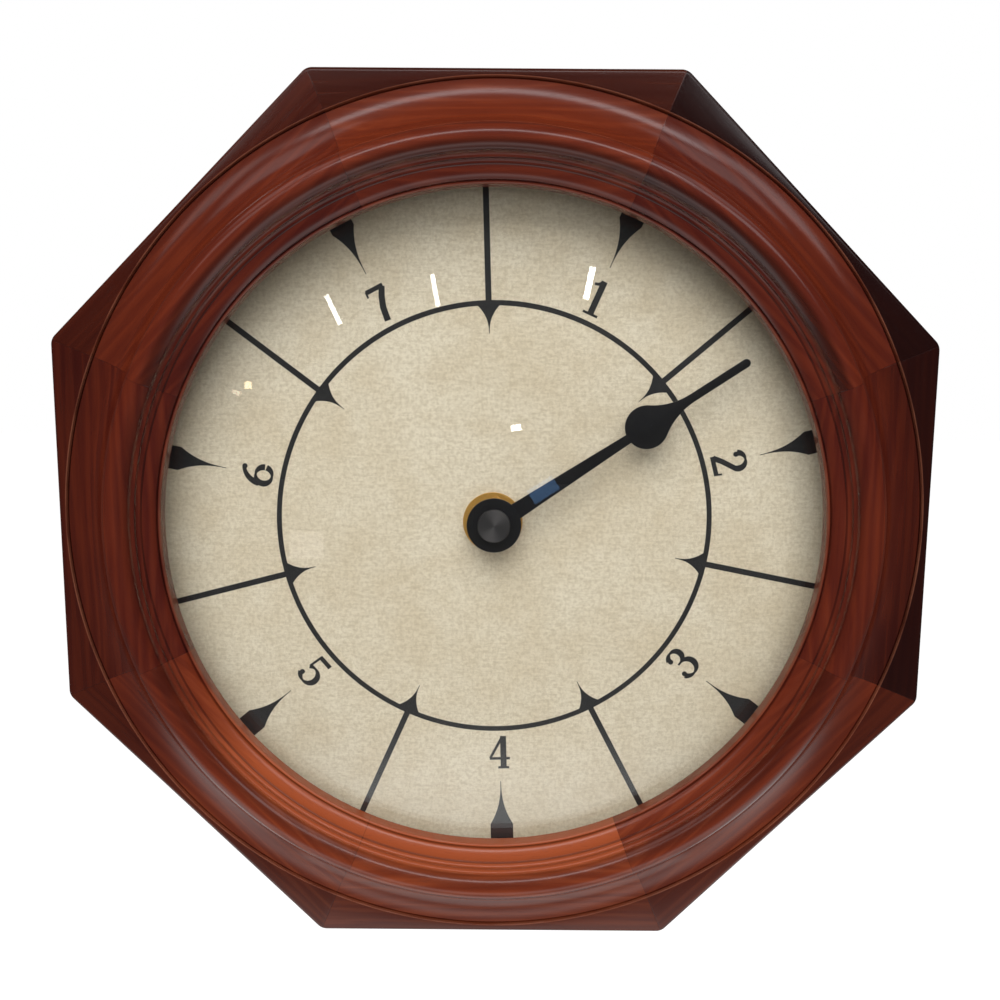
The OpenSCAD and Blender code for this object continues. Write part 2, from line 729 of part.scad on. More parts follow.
// The negative contact: a plate with a tongue that bows towards the battery
module contact_minus() {
    plate_x = -inner_half + plate_gap;
    tail_y = room_y + 0.4;
    tongue_x = -contact_face_x - contact_t / 2;
    tongue_sag = battery_end_x - tongue_gap - contact_t - tongue_x;
    tongue = concat(
        bow([0, -5], [0, 5], -tongue_sag, 8),
        bow([contact_t, 5], [contact_t, -5], tongue_sag, 8));
    color("silver") {
        block([plate_x, battery_y - 5.5, battery_z - 4.5],
            [plate_x + contact_t, battery_y + 5.5, battery_z + 4.5]);
        translate([tongue_x, battery_y, battery_z - 2]) linear_extrude(4)
            polygon(tongue);
        block([plate_x, battery_y, minus_tail_z],
            [plate_x + contact_t, tail_y + contact_t, minus_tail_z + tail_w]);
        block([plate_x, tail_y, minus_tail_z],
            [circuit_low[0] + 2.5, tail_y + contact_t, minus_tail_z + tail_w]);
    }
}

module circuit_board() {
    color([0.1, 0.35, 0.2]) block([circuit_low[0], circuit_low[1], circuit_z],
        [circuit_high[0], circuit_high[1], circuit_z + circuit_t]);
}

module quartz_can() {
    can_r = 1;
    can_at = circuit_low + [4, 5.6];
    color("gainsboro") translate([can_at[0], can_at[1], circuit_z + circuit_t + can_r + 0.1])
        rotate([0, 90, 0]) cylinder(r = can_r, h = 6.2);
}

module driver_chip() {
    blob_r = 3;
    blob_h = 1.2;
    ball_r = (blob_r * blob_r + blob_h * blob_h) / (2 * blob_h);
    blob_at = circuit_high - [6.4, 5.4];
    color([0.05, 0.05, 0.05]) translate([blob_at[0], blob_at[1], circuit_z + circuit_t]) intersection() {
        translate([0, 0, blob_h - ball_r]) sphere(r = ball_r);
        cylinder(r = blob_r + 1, h = blob_h + 1);
    }
}

// ---- Motor ----

module along_coil(low, high) {
    translate([coil_x, high, coil_z]) rotate([90, 0, 0]) linear_extrude(high - low) children();
}

module coil_bobbin() {
    window = [core_w + 0.2, core_t + 0.2];
    color([0.9, 0.88, 0.8]) {
        along_coil(coil_low_y, coil_high_y) difference() {
            circle(r = bobbin_r);
            square(window, center = true);
        }
        for (y = [coil_low_y, coil_high_y - coil_flange_t]) along_coil(y, y + coil_flange_t)
            difference() {
                circle(r = coil_flange_r);
                square(window, center = true);
            }
    }
}

module coil_winding() {
    color([0.72, 0.35, 0.15])
        along_coil(coil_low_y + coil_flange_t + 0.05, coil_high_y - coil_flange_t - 0.05)
            difference() {
                circle(r = coil_r);
                circle(r = bobbin_r + 0.05);
            }
}

module coil_core() {
    color("slategray") difference() {
        block([coil_x - core_w / 2, coil_low_y - core_over, core_z],
            [coil_x + core_w / 2, coil_high_y + core_over, core_z + core_t]);
        for (at = motor_posts) bar_at(at, motor_screw_r + 0.1, core_z - 1, core_z + core_t + 1);
    }
}

// A plate with the rotor's hole, and an arm round each end of the coil to the core
module stator() {
    half_arm = stator_arm_w / 2;
    arm_x = rotor_at[0] - half_arm + 0.2;
    top_z = stator_z + stator_t;
    color("lightslategray") difference() {
        union() {
            bar_at(rotor_at, stator_ring_r, stator_z, top_z);
            for (at = motor_posts) {
                bar_at(at, half_arm, stator_z, top_z);
                block([at[0], at[1] - half_arm, stator_z], [arm_x + half_arm, at[1] + half_arm, top_z]);
                block([arm_x - half_arm, min(at[1], rotor_at[1]), stator_z],
                    [arm_x + half_arm, max(at[1], rotor_at[1]), top_z]);
            }
        }
        bar_at(rotor_at, stator_hole_r, stator_z - 1, stator_z + stator_t + 1);
        // The gap between the two pole pieces, open towards the coil
        block([rotor_at[0] - stator_ring_r - 1, rotor_at[1] - 0.3, stator_z - 1],
            [rotor_at[0], rotor_at[1] + 0.3, stator_z + stator_t + 1]);
        for (at = motor_posts)
            bar_at(at, motor_screw_r + 0.1, stator_z - 1, stator_z + stator_t + 1);
    }
}

module stator_screws() {
    shank_r = motor_screw_r - shank_gap;
    head_r = 1.6;
    head_h = 1;
    color("silver") for (at = motor_posts) translate([at[0], at[1], 0]) difference() {
        union() {
            disc(head_r, stator_z - head_h, stator_z);
            disc(shank_r, stator_z - head_h / 2, core_z + core_t + 3.5);
        }
        translate([0, 0, stator_z - head_h]) cross_recess(2, 0.5);
    }
}

// ---- Train ----

// Straight-sided teeth: wheels and pinions share one form
module toothed(m, teeth, turn, low, high) {
    pitch = 360 / teeth;
    root_r = m * (teeth / 2 - tooth_ded);
    tip_r = m * (teeth / 2 + tooth_add);
    edges = [
        [root_r, -root_share / 2], [tip_r, -tip_share / 2],
        [tip_r, tip_share / 2], [root_r, root_share / 2],
    ];
    translate([0, 0, low]) linear_extrude(high - low) polygon([
        for (k = [0:teeth - 1], e = edges)
            let (a = turn + (k + e[1]) * pitch) e[0] * [cos(a), sin(a)]
    ]);
}

// A wheel that drives the next through the pinion in front of it, on one arbor
module train_wheel(at, place, m, teeth, turn, next_m) {
    low = wheel_z(place);
    lightening = 4;
    translate([at[0], at[1], 0]) {
        difference() {
            toothed(m, teeth, turn, low, low + wheel_t);
            for (k = [0:lightening - 1]) rotate([0, 0, turn + 45 + k * 360 / lightening])
                bar_at([m * teeth / 4 + 0.2, 0], m * teeth / 8, low - 1, low + wheel_t + 1);
        }
        toothed(next_m, leaves, turn, low + wheel_t - eps, low + level + wheel_t + 0.2);
        disc(pivot_r, pivot_back_z, pivot_front_z);
    }
}

module rotor_arbor() {
    color("ivory") translate([rotor_at[0], rotor_at[1], 0]) {
        toothed(first_m, leaves, rotor_turn, wheel_z(1) - 0.2, wheel_z(1) + wheel_t + 0.2);
        disc(rotor_shaft_r, wheel_z(1) + wheel_t + 0.2 - eps, magnet_z + magnet_h + 0.4);
        disc(pivot_r, pivot_back_z, pivot_front_z);
    }
}
module rotor_magnet() {
    color([0.25, 0.25, 0.27]) translate([rotor_at[0], rotor_at[1], 0])
        ring(magnet_r, rotor_shaft_r + press_gap, magnet_z, magnet_z + magnet_h);
}
module first_wheel() {
    color("white") train_wheel(first_at, 1, first_m, first_teeth, first_turn, second_m);
}
module second_wheel() {
    color("ivory") train_wheel(second_at, 2, second_m, second_teeth, second_turn, third_m);
}
module third_wheel() {
    color("white") train_wheel(third_at, 3, third_m, third_teeth, third_turn, fourth_m);
}
module fourth_wheel() {
    color("ivory") train_wheel(fourth_at, 4, fourth_m, fourth_teeth, fourth_turn, fifth_m);
}

// The fifth wheel turns the clutch arbor by friction and slips on it while the hand is set
module fifth_wheel() {
    color("white") translate([clutch_at[0], clutch_at[1], 0]) difference() {
        toothed(fifth_m, fifth_teeth, fifth_turn, wheel_z(5), wheel_z(5) + wheel_t);
        disc(clutch_shaft_r + run_gap, wheel_z(5) - 1, wheel_z(5) + wheel_t + 1);
    }
}
clutch_shoulder_z = wheel_z(5) + wheel_t + run_gap;
clutch_collar_z = wheel_z(5) - 0.7;
module clutch_arbor() {
    color("gold") translate([clutch_at[0], clutch_at[1], 0]) {
        disc(clutch_shaft_r, clutch_collar_z, clutch_shoulder_z + 0.1);
        disc(2, clutch_collar_z, clutch_collar_z + 0.25);
        disc(2, clutch_shoulder_z, clutch_shoulder_z + 0.25);
        toothed(day_m, leaves, clutch_turn, clutch_shoulder_z + 0.25 - eps,
            day_wheel_z + wheel_t + 0.2);
        disc(pivot_r, pivot_back_z, pivot_front_z);
    }
}
module clutch_spring() {
    low = clutch_collar_z + 0.25;
    spring_t = 0.15;
    rise = wheel_z(5) - run_gap - low - spring_t;
    color("silver") translate([clutch_at[0], clutch_at[1], 0]) rotate_extrude() polygon([
        [clutch_shaft_r + 0.03, low], [1.9, low], [3.4, low + rise],
        [3.4, low + rise + spring_t], [1.9, low + spring_t], [clutch_shaft_r + 0.03, low + spring_t],
    ]);
}

spindle_seat_r = spindle_r - 0.4;
module day_wheel() {
    lightening = 4;
    color("white") difference() {
        toothed(day_m, day_teeth, day_turn, day_wheel_z, day_wheel_z + wheel_t);
        disc(spindle_seat_r + press_gap, day_wheel_z - 1, day_wheel_z + 2);
        for (k = [0:lightening - 1]) rotate([0, 0, 45 + k * 360 / lightening])
            bar_at([4.5, 0], 1.3, day_wheel_z - 1, day_wheel_z + 2);
    }
}
module spindle() {
    seat_z = day_wheel_z + wheel_t;
    color("darkgoldenrod") {
        disc(spindle_seat_r, day_wheel_z - 0.4, seat_z + eps);
        disc(spindle_r, seat_z, hand_z - collet_h);
        disc(spindle_tip_r, hand_z - collet_h - eps, hand_z + hub_disc_t + cap_h * 0.6);
    }
}

module setting_shaft() {
    color("ivory") translate([setting_at[0], setting_at[1], 0]) {
        disc(setting_shaft_r, knob_z + 0.6, pivot_front_z);
        toothed(day_m, setting_teeth, setting_turn, day_wheel_z - 0.4, day_wheel_z + wheel_t + 0.3);
    }
}
module setting_knob() {
    flutes = 18;
    flute_r = 0.8;
    slot_half = 0.6;
    slot_depth = 0.5;
    shaft_depth = 0.6;
    color("white") translate([setting_at[0], setting_at[1], 0]) difference() {
        disc(knob_r, knob_z, knob_z + knob_h);
        disc(setting_shaft_r + press_gap, knob_z + shaft_depth, knob_z + knob_h + 1);
        for (k = [0:flutes - 1]) rotate([0, 0, k * 360 / flutes])
            bar_at([knob_r + flute_r / 2, 0], flute_r, knob_z - 1, knob_z + knob_h + 1);
        // Finger slot across the knob's face
        block([-knob_r, -slot_half, knob_z - 1], [knob_r, slot_half, knob_z + slot_depth]);
    }
}

// ---- Hand and what clamps the movement ----

// The blade points to +Y: a tapering bar, the spade with hollow flanks, and a round-ended bar
module hand_outline() {
    hub_y = hub_disc_r - 1;
    polygon([
        [-blade_hub_w / 2, hub_y], [blade_hub_w / 2, hub_y],
        [blade_spade_w / 2, spade_y], [-blade_spade_w / 2, spade_y],
    ]);
    translate([0, spade_y]) {
        circle(r = spade_r);
        difference() {
            polygon([
                [-flank_touch[1], flank_touch[0]], [0, 0], [flank_touch[1], flank_touch[0]],
                [flank_touch[1], flank_reach], [-flank_touch[1], flank_reach],
            ]);
            for (side = [-1, 1]) translate([side * flank_c[1], flank_c[0]]) circle(r = flank_r);
        }
    }
    translate([-bar_w / 2, spade_y + spade_r]) square([bar_w, spade_back - spade_r - bar_w / 2]);
    translate([0, hand_length - bar_w / 2]) circle(r = bar_w / 2);
}

module day_hand() {
    color([0.05, 0.05, 0.06]) rotate([0, 0, -hand_angle]) difference() {
        union() {
            translate([0, 0, hand_z + (hub_disc_t - blade_t) / 2]) linear_extrude(blade_t)
                hand_outline();
            disc(hub_disc_r, hand_z, hand_z + hub_disc_t);
            disc(collet_r, hand_z - collet_h, hand_z + eps);
        }
        disc(spindle_tip_r + press_gap, hand_z - collet_h - 1, hand_z + hub_disc_t + 1);
    }
}

module hand_cap() {
    low = hand_z + hub_disc_t;
    bevel = 0.4;
    color([0.2, 0.2, 0.21]) difference() {
        union() {
            disc(cap_r, low, low + cap_h - bevel);
            translate([0, 0, low + cap_h - bevel - eps])
                cylinder(r1 = cap_r, r2 = cap_r - bevel, h = bevel);
        }
        disc(spindle_tip_r + press_gap, low - 1, low + cap_h * 0.6 + 0.2);
    }
}

module brass_washer() {
    color("gold") translate([-washer_shift, 0, 0])
        ring(washer_r, bush_r + washer_shift + 0.1, dial_z, dial_z + washer_t);
}

module hex_nut() {
    nut_z = dial_z + washer_t;
    nut_turn = 25;
    corner = nut_af / 2 / cos(30);
    color("gold") difference() {
        intersection() {
            translate([0, 0, nut_z]) rotate([0, 0, nut_turn]) cylinder(r = corner, h = nut_t, $fn = 6);
            translate([0, 0, nut_z - eps])
                cylinder(r1 = corner + 2, r2 = nut_af / 2 + 0.1, h = nut_t + 2 * eps);
        }
        disc(bush_r + run_gap, nut_z - 1, nut_z + nut_t + 1);
    }
}

hung() top_stave();  // stave_top
hung() stave(1);  // stave_top_right
hung() stave(2);  // stave_right
hung() stave(3);  // stave_bottom_right
hung() stave(4);  // stave_bottom
hung() stave(5);  // stave_bottom_left
hung() stave(6);  // stave_left
hung() stave(7);  // stave_top_left
hung() glass_dome();
hung() spacer_strip();
hung() dial_card();
hung() dial_board();
hung() board_screws();
hung() case_gasket();
hung() hanger_plate();
hung() hanger_screws();
hung() front_case();
hung() threaded_bush();
hung() back_cover();
hung() cover_screws();
hung() battery();
hung() contact_plus();
hung() contact_minus();
hung() circuit_board();
hung() quartz_can();
hung() driver_chip();
hung() coil_bobbin();
hung() coil_winding();
hung() coil_core();
hung() stator();
hung() stator_screws();
hung() rotor_arbor();
hung() rotor_magnet();
hung() first_wheel();
hung() second_wheel();
hung() third_wheel();
hung() fourth_wheel();
hung() fifth_wheel();
hung() clutch_arbor();
hung() clutch_spring();
hung() day_wheel();
hung() spindle();
hung() day_hand();
hung() hand_cap();
hung() brass_washer();
hung() hex_nut();
hung() setting_shaft();
hung() setting_knob();
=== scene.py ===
"""Looks of an eight-sided wall clock: a turned and mitred wooden frame, a domed glass over a
parchment dial, one hand that turns once a week, and the battery movement behind the dial.

Pieces are modelled on a bench: X to the right, Y up the dial, Z from the wall towards the viewer,
with the hand's axis at X = Y = 0, in millimetres. Bench.hang() then stands each piece on the wall.
"""

from __future__ import annotations

import logging
import math
from contextlib import contextmanager
from dataclasses import dataclass, field
from enum import Enum
from typing import Iterator, Sequence

import bmesh
import bpy
from mathutils import Matrix, Vector

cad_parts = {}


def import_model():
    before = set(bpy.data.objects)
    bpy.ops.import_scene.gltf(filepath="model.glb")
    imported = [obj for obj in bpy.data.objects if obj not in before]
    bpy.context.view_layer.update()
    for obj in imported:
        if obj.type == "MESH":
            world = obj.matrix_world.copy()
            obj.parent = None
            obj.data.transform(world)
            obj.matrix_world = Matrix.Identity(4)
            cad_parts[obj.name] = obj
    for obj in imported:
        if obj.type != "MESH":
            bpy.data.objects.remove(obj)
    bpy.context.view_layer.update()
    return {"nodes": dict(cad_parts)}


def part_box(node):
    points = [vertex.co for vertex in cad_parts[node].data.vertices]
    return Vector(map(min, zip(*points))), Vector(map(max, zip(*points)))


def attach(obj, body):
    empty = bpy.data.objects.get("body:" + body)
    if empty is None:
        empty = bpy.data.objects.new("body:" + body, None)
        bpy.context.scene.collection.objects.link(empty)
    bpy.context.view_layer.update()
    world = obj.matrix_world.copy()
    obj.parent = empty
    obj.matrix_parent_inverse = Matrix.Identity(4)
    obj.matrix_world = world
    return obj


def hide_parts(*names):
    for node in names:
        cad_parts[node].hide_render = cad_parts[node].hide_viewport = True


LOG = logging.getLogger("wall_clock")
MM = 0.001
STAVES = 8
STAVE_ANGLE = 360 / STAVES
SECTORS = 7
HALF_STAVE = math.radians(STAVE_ANGLE / 2)

# Metres within which corners are one, edges are nothing, and a corner lies on a plane
MERGE = 2e-7
NOTHING = 1e-7
ON_PLANE = 1e-6
# Millimetres within which a point lies on the Y axis
ON_AXIS = 1e-9
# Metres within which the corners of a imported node's loose triangles are one
NODE_MERGE = 2e-6
# Millimetres that a cutter stands out of what it cuts
OVERCUT = 1.0
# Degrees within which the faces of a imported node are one
FLAT_WITHIN = 0.5

SOFT_WHITE = (1.0, 0.99, 0.97)
DAYLIGHT = (0.97, 0.98, 1.0)
SIDE_WHITE = (1.0, 0.98, 0.98)

Point = tuple[float, float]
Colour = tuple[float, float, float]
Scale = tuple[float, float, float]
Span = tuple[float, float]


# ---- Outlines ----


def arc(centre: Point, radius: float, start: float, end: float, steps: int) -> list[Point]:
    """Points along an arc.

    Args:
        centre: the arc's centre.
        radius: its radius.
        start: the first point's angle in degrees.
        end: the last point's angle in degrees.
        steps: how many chords stand for the arc.

    Returns:
        steps + 1 points.
    """
    angles = [math.radians(start + (end - start) * i / steps) for i in range(steps + 1)]
    return [(centre[0] + radius * math.cos(a), centre[1] + radius * math.sin(a)) for a in angles]


def bow(start: Point, end: Point, sag: float, steps: int) -> list[Point]:
    """Points along a shallow bow.

    Args:
        start: the first point.
        end: the last point.
        sag: how far the middle stands off the chord, to its left when positive.
        steps: how many chords stand for the bow.

    Returns:
        steps + 1 points.
    """
    along = Vector(end) - Vector(start)
    across = Vector((-along.y, along.x)).normalized()
    points = []
    for i in range(steps + 1):
        t = i / steps
        p = Vector(start) + along * t + across * (4 * sag * t * (1 - t))
        points.append((p.x, p.y))
    return points


def mirrored(half: Sequence[Point]) -> list[Point]:
    """A whole outline from its right half, which runs from one end of the Y axis to the other."""
    return list(half) + [(-x, y) for x, y in reversed(half) if abs(x) > ON_AXIS]


def turned_point(point: Point, degrees: float) -> Point:
    """A point turned clockwise about the origin."""
    a = math.radians(-degrees)
    x, y = point
    return (x * math.cos(a) - y * math.sin(a), x * math.sin(a) + y * math.cos(a))


# ---- Bench tools: each wraps the operators that a modeller would use by hand ----


def pick_only(piece: bpy.types.Object) -> None:
    """Leaves one object selected and active."""
    bpy.ops.object.select_all(action="DESELECT")
    piece.select_set(True)
    bpy.context.view_layer.objects.active = piece


@contextmanager
def editing(piece: bpy.types.Object) -> Iterator[None]:
    """Edit mode on one object, with everything in it selected.

    Args:
        piece: the object.

    Returns:
        The block in which the mode holds.
    """
    pick_only(piece)
    bpy.ops.object.mode_set(mode="EDIT")
    bpy.ops.mesh.select_all(action="SELECT")
    yield
    bpy.ops.object.mode_set(mode="OBJECT")


def drawn_loop(name: str, points: Sequence[Vector], filled: bool) -> bpy.types.Object:
    """A closed loop of edges: a primitive circle drawn out to the given points.

    Args:
        name: the piece's name.
        points: the loop's corners in millimetres on the bench.
        filled: whether the loop is a face.

    Returns:
        The new object.
    """
    bpy.ops.object.select_all(action="DESELECT")
    fill = "NGON" if filled else "NOTHING"
    bpy.ops.mesh.primitive_circle_add(vertices=len(points), fill_type=fill)
    piece = bpy.context.object
    piece.name = name
    for vertex, point in zip(piece.data.vertices, points):
        vertex.co = Vector(point) * MM
    return piece


def seal(piece: bpy.types.Object) -> None:
    """Merges doubles, drops what a spin leaves on its axis, and points every face outwards.

    Args:
        piece: the piece.
    """
    with editing(piece):
        bpy.ops.mesh.remove_doubles(threshold=MERGE)
        bpy.ops.mesh.dissolve_degenerate(threshold=NOTHING)
        bpy.ops.mesh.delete_loose(use_verts=True, use_edges=True, use_faces=False)
        bpy.ops.mesh.select_all(action="SELECT")
        bpy.ops.mesh.normals_make_consistent(inside=False)


def turned(name: str, profile: Sequence[Point], steps: int = 128) -> bpy.types.Object:
    """A piece turned on the lathe.

    Args:
        name: the piece's name.
        profile: a closed outline of (radius, height) points.
        steps: how many steps make the full turn.

    Returns:
        The turned solid.
    """
    piece = drawn_loop(name, [Vector((r, 0, h)) for r, h in profile], filled=False)
    with editing(piece):
        bpy.ops.mesh.spin(steps=steps, angle=2 * math.pi, center=(0, 0, 0), axis=(0, 0, 1))
    seal(piece)
    return piece


def slab(name: str, outline: Sequence[Point], low: float, high: float) -> bpy.types.Object:
    """A plate cut to an outline.

    Args:
        name: the piece's name.
        outline: its plan.
        low: the height of its back.
        high: the height of its front.

    Returns:
        The solid plate.
    """
    piece = drawn_loop(name, [Vector((x, y, low)) for x, y in outline], filled=True)
    with editing(piece):
        bpy.ops.mesh.extrude_region_move(
            TRANSFORM_OT_translate={"value": (0, 0, (high - low) * MM)}
        )
    seal(piece)
    return piece


def box_outline(low: Point, high: Point) -> list[Point]:
    """The four corners of an upright rectangle."""
    return [low, (high[0], low[1]), high, (low[0], high[1])]


def clockwise(degrees: float) -> Matrix:
    """A turn about the hand's axis on the bench."""
    return Matrix.Rotation(math.radians(-degrees), 4, "Z")


def moved(x: float, y: float, z: float) -> Matrix:
    """A move on the bench, in millimetres."""
    return Matrix.Translation(Vector((x, y, z)) * MM)


def slot_outline(low: Point, high: Point, radius: float, steps: int = 12) -> list[Point]:
    """An upright slot with round ends, between the centres of its ends."""
    return arc(low, radius, 180, 360, steps) + arc(high, radius, 0, 180, steps)


def combine(piece: bpy.types.Object, tool: bpy.types.Object, how: str) -> None:
    """Joins or cuts one solid with another, which is used up.

    Args:
        piece: the solid that stays.
        tool: the other solid.
        how: the Boolean modifier's operation.
    """
    modifier = piece.modifiers.new("combine", "BOOLEAN")
    modifier.operation = how
    modifier.solver = "EXACT"
    modifier.object = tool
    pick_only(piece)
    bpy.ops.object.modifier_apply(modifier=modifier.name)
    bpy.data.objects.remove(tool, do_unlink=True)


def soften(piece: bpy.types.Object, width: float, above: float) -> None:
    """Rounds a solid's sharp edges with two faces each.

    Args:
        piece: the solid.
        width: the rounding's width in millimetres.
        above: only edges that turn by more than this many degrees.
    """
    modifier = piece.modifiers.new("soften", "BEVEL")
    modifier.width = width * MM
    modifier.segments = 2
    modifier.limit_method = "ANGLE"
    modifier.angle_limit = math.radians(above)
    modifier.harden_normals = False
    pick_only(piece)
    bpy.ops.object.modifier_apply(modifier=modifier.name)


def copied(piece: bpy.types.Object, name: str, degrees: float) -> bpy.types.Object:
    """A copy with its own mesh, turned clockwise about the hand's axis on the bench.

    Args:
        piece: the piece that is copied.
        name: the copy's name.
        degrees: how far it is turned.

    Returns:
        The copy.
    """
    twin = piece.copy()
    twin.data = piece.data.copy()
    twin.name = name
    bpy.context.scene.collection.objects.link(twin)
    twin.data.transform(clockwise(degrees))
    return twin


@dataclass(frozen=True)
class Bench:
    """Where the bench's drawing hangs in the frame."""

    axis: Vector

    @classmethod
    def from_frame(cls) -> Bench:
        """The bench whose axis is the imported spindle's."""
        low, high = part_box("spindle")
        middle = (low + high) / 2
        return cls(Vector((middle.x, 0, middle.z)))

    def hang(self, piece: bpy.types.Object, smooth: float = 32) -> None:
        """Stands a piece on the wall, with its place in its mesh, and shades it.

        Args:
            piece: the piece, as it was modelled on the bench.
            smooth: edges that turn by less than this many degrees look round.
        """
        piece.matrix_world = Matrix.Translation(self.axis) @ Matrix.Rotation(math.pi / 2, 4, "X")
        pick_only(piece)
        bpy.ops.object.transform_apply(location=True, rotation=True, scale=True)
        bpy.ops.object.shade_smooth_by_angle(angle=math.radians(smooth))

    def point(self, x: float, y: float, z: float) -> Vector:
        """A bench point, in metres in the frame."""
        return self.axis + Vector((x, -z, y)) * MM


# ---- Shader sheets ----


class Wire:
    """A varying number in a material. Its operators add Math nodes to the sheet."""

    def __init__(self, sheet: Sheet, socket: bpy.types.NodeSocket) -> None:
        """Wraps one output socket of the sheet."""
        self.sheet = sheet
        self.socket = socket

    def _math(self, operation: str, *values: Wire | float) -> Wire:
        """A Math node on the given values."""
        return self.sheet.node("ShaderNodeMath", {"operation": operation}, dict(enumerate(values)))

    def __add__(self, other: Wire | float) -> Wire:
        """Sum."""
        return self._math("ADD", self, other)

    __radd__ = __add__

    def __sub__(self, other: Wire | float) -> Wire:
        """Difference."""
        return self._math("SUBTRACT", self, other)

    def __rsub__(self, other: float) -> Wire:
        """Difference from a number."""
        return self._math("SUBTRACT", other, self)

    def __mul__(self, other: Wire | float) -> Wire:
        """Product."""
        return self._math("MULTIPLY", self, other)

    __rmul__ = __mul__

    def __truediv__(self, other: Wire | float) -> Wire:
        """Quotient."""
        return self._math("DIVIDE", self, other)

    def __pow__(self, other: float) -> Wire:
        """Power."""
        return self._math("POWER", self, other)

    def __abs__(self) -> Wire:
        """Size without sign."""
        return self._math("ABSOLUTE", self)

    def sine(self) -> Wire:
        """Sine, in radians."""
        return self._math("SINE", self)

    def root(self) -> Wire:
        """Square root."""
        return self._math("SQRT", self)

    def ramp(self, low: float, high: float) -> Wire:
        """0 up to low and 1 from high on, smooth between."""
        settings = {"interpolation_type": "SMOOTHSTEP", "clamp": True}
        return self.sheet.node("ShaderNodeMapRange", settings, {0: self, 1: low, 2: high})


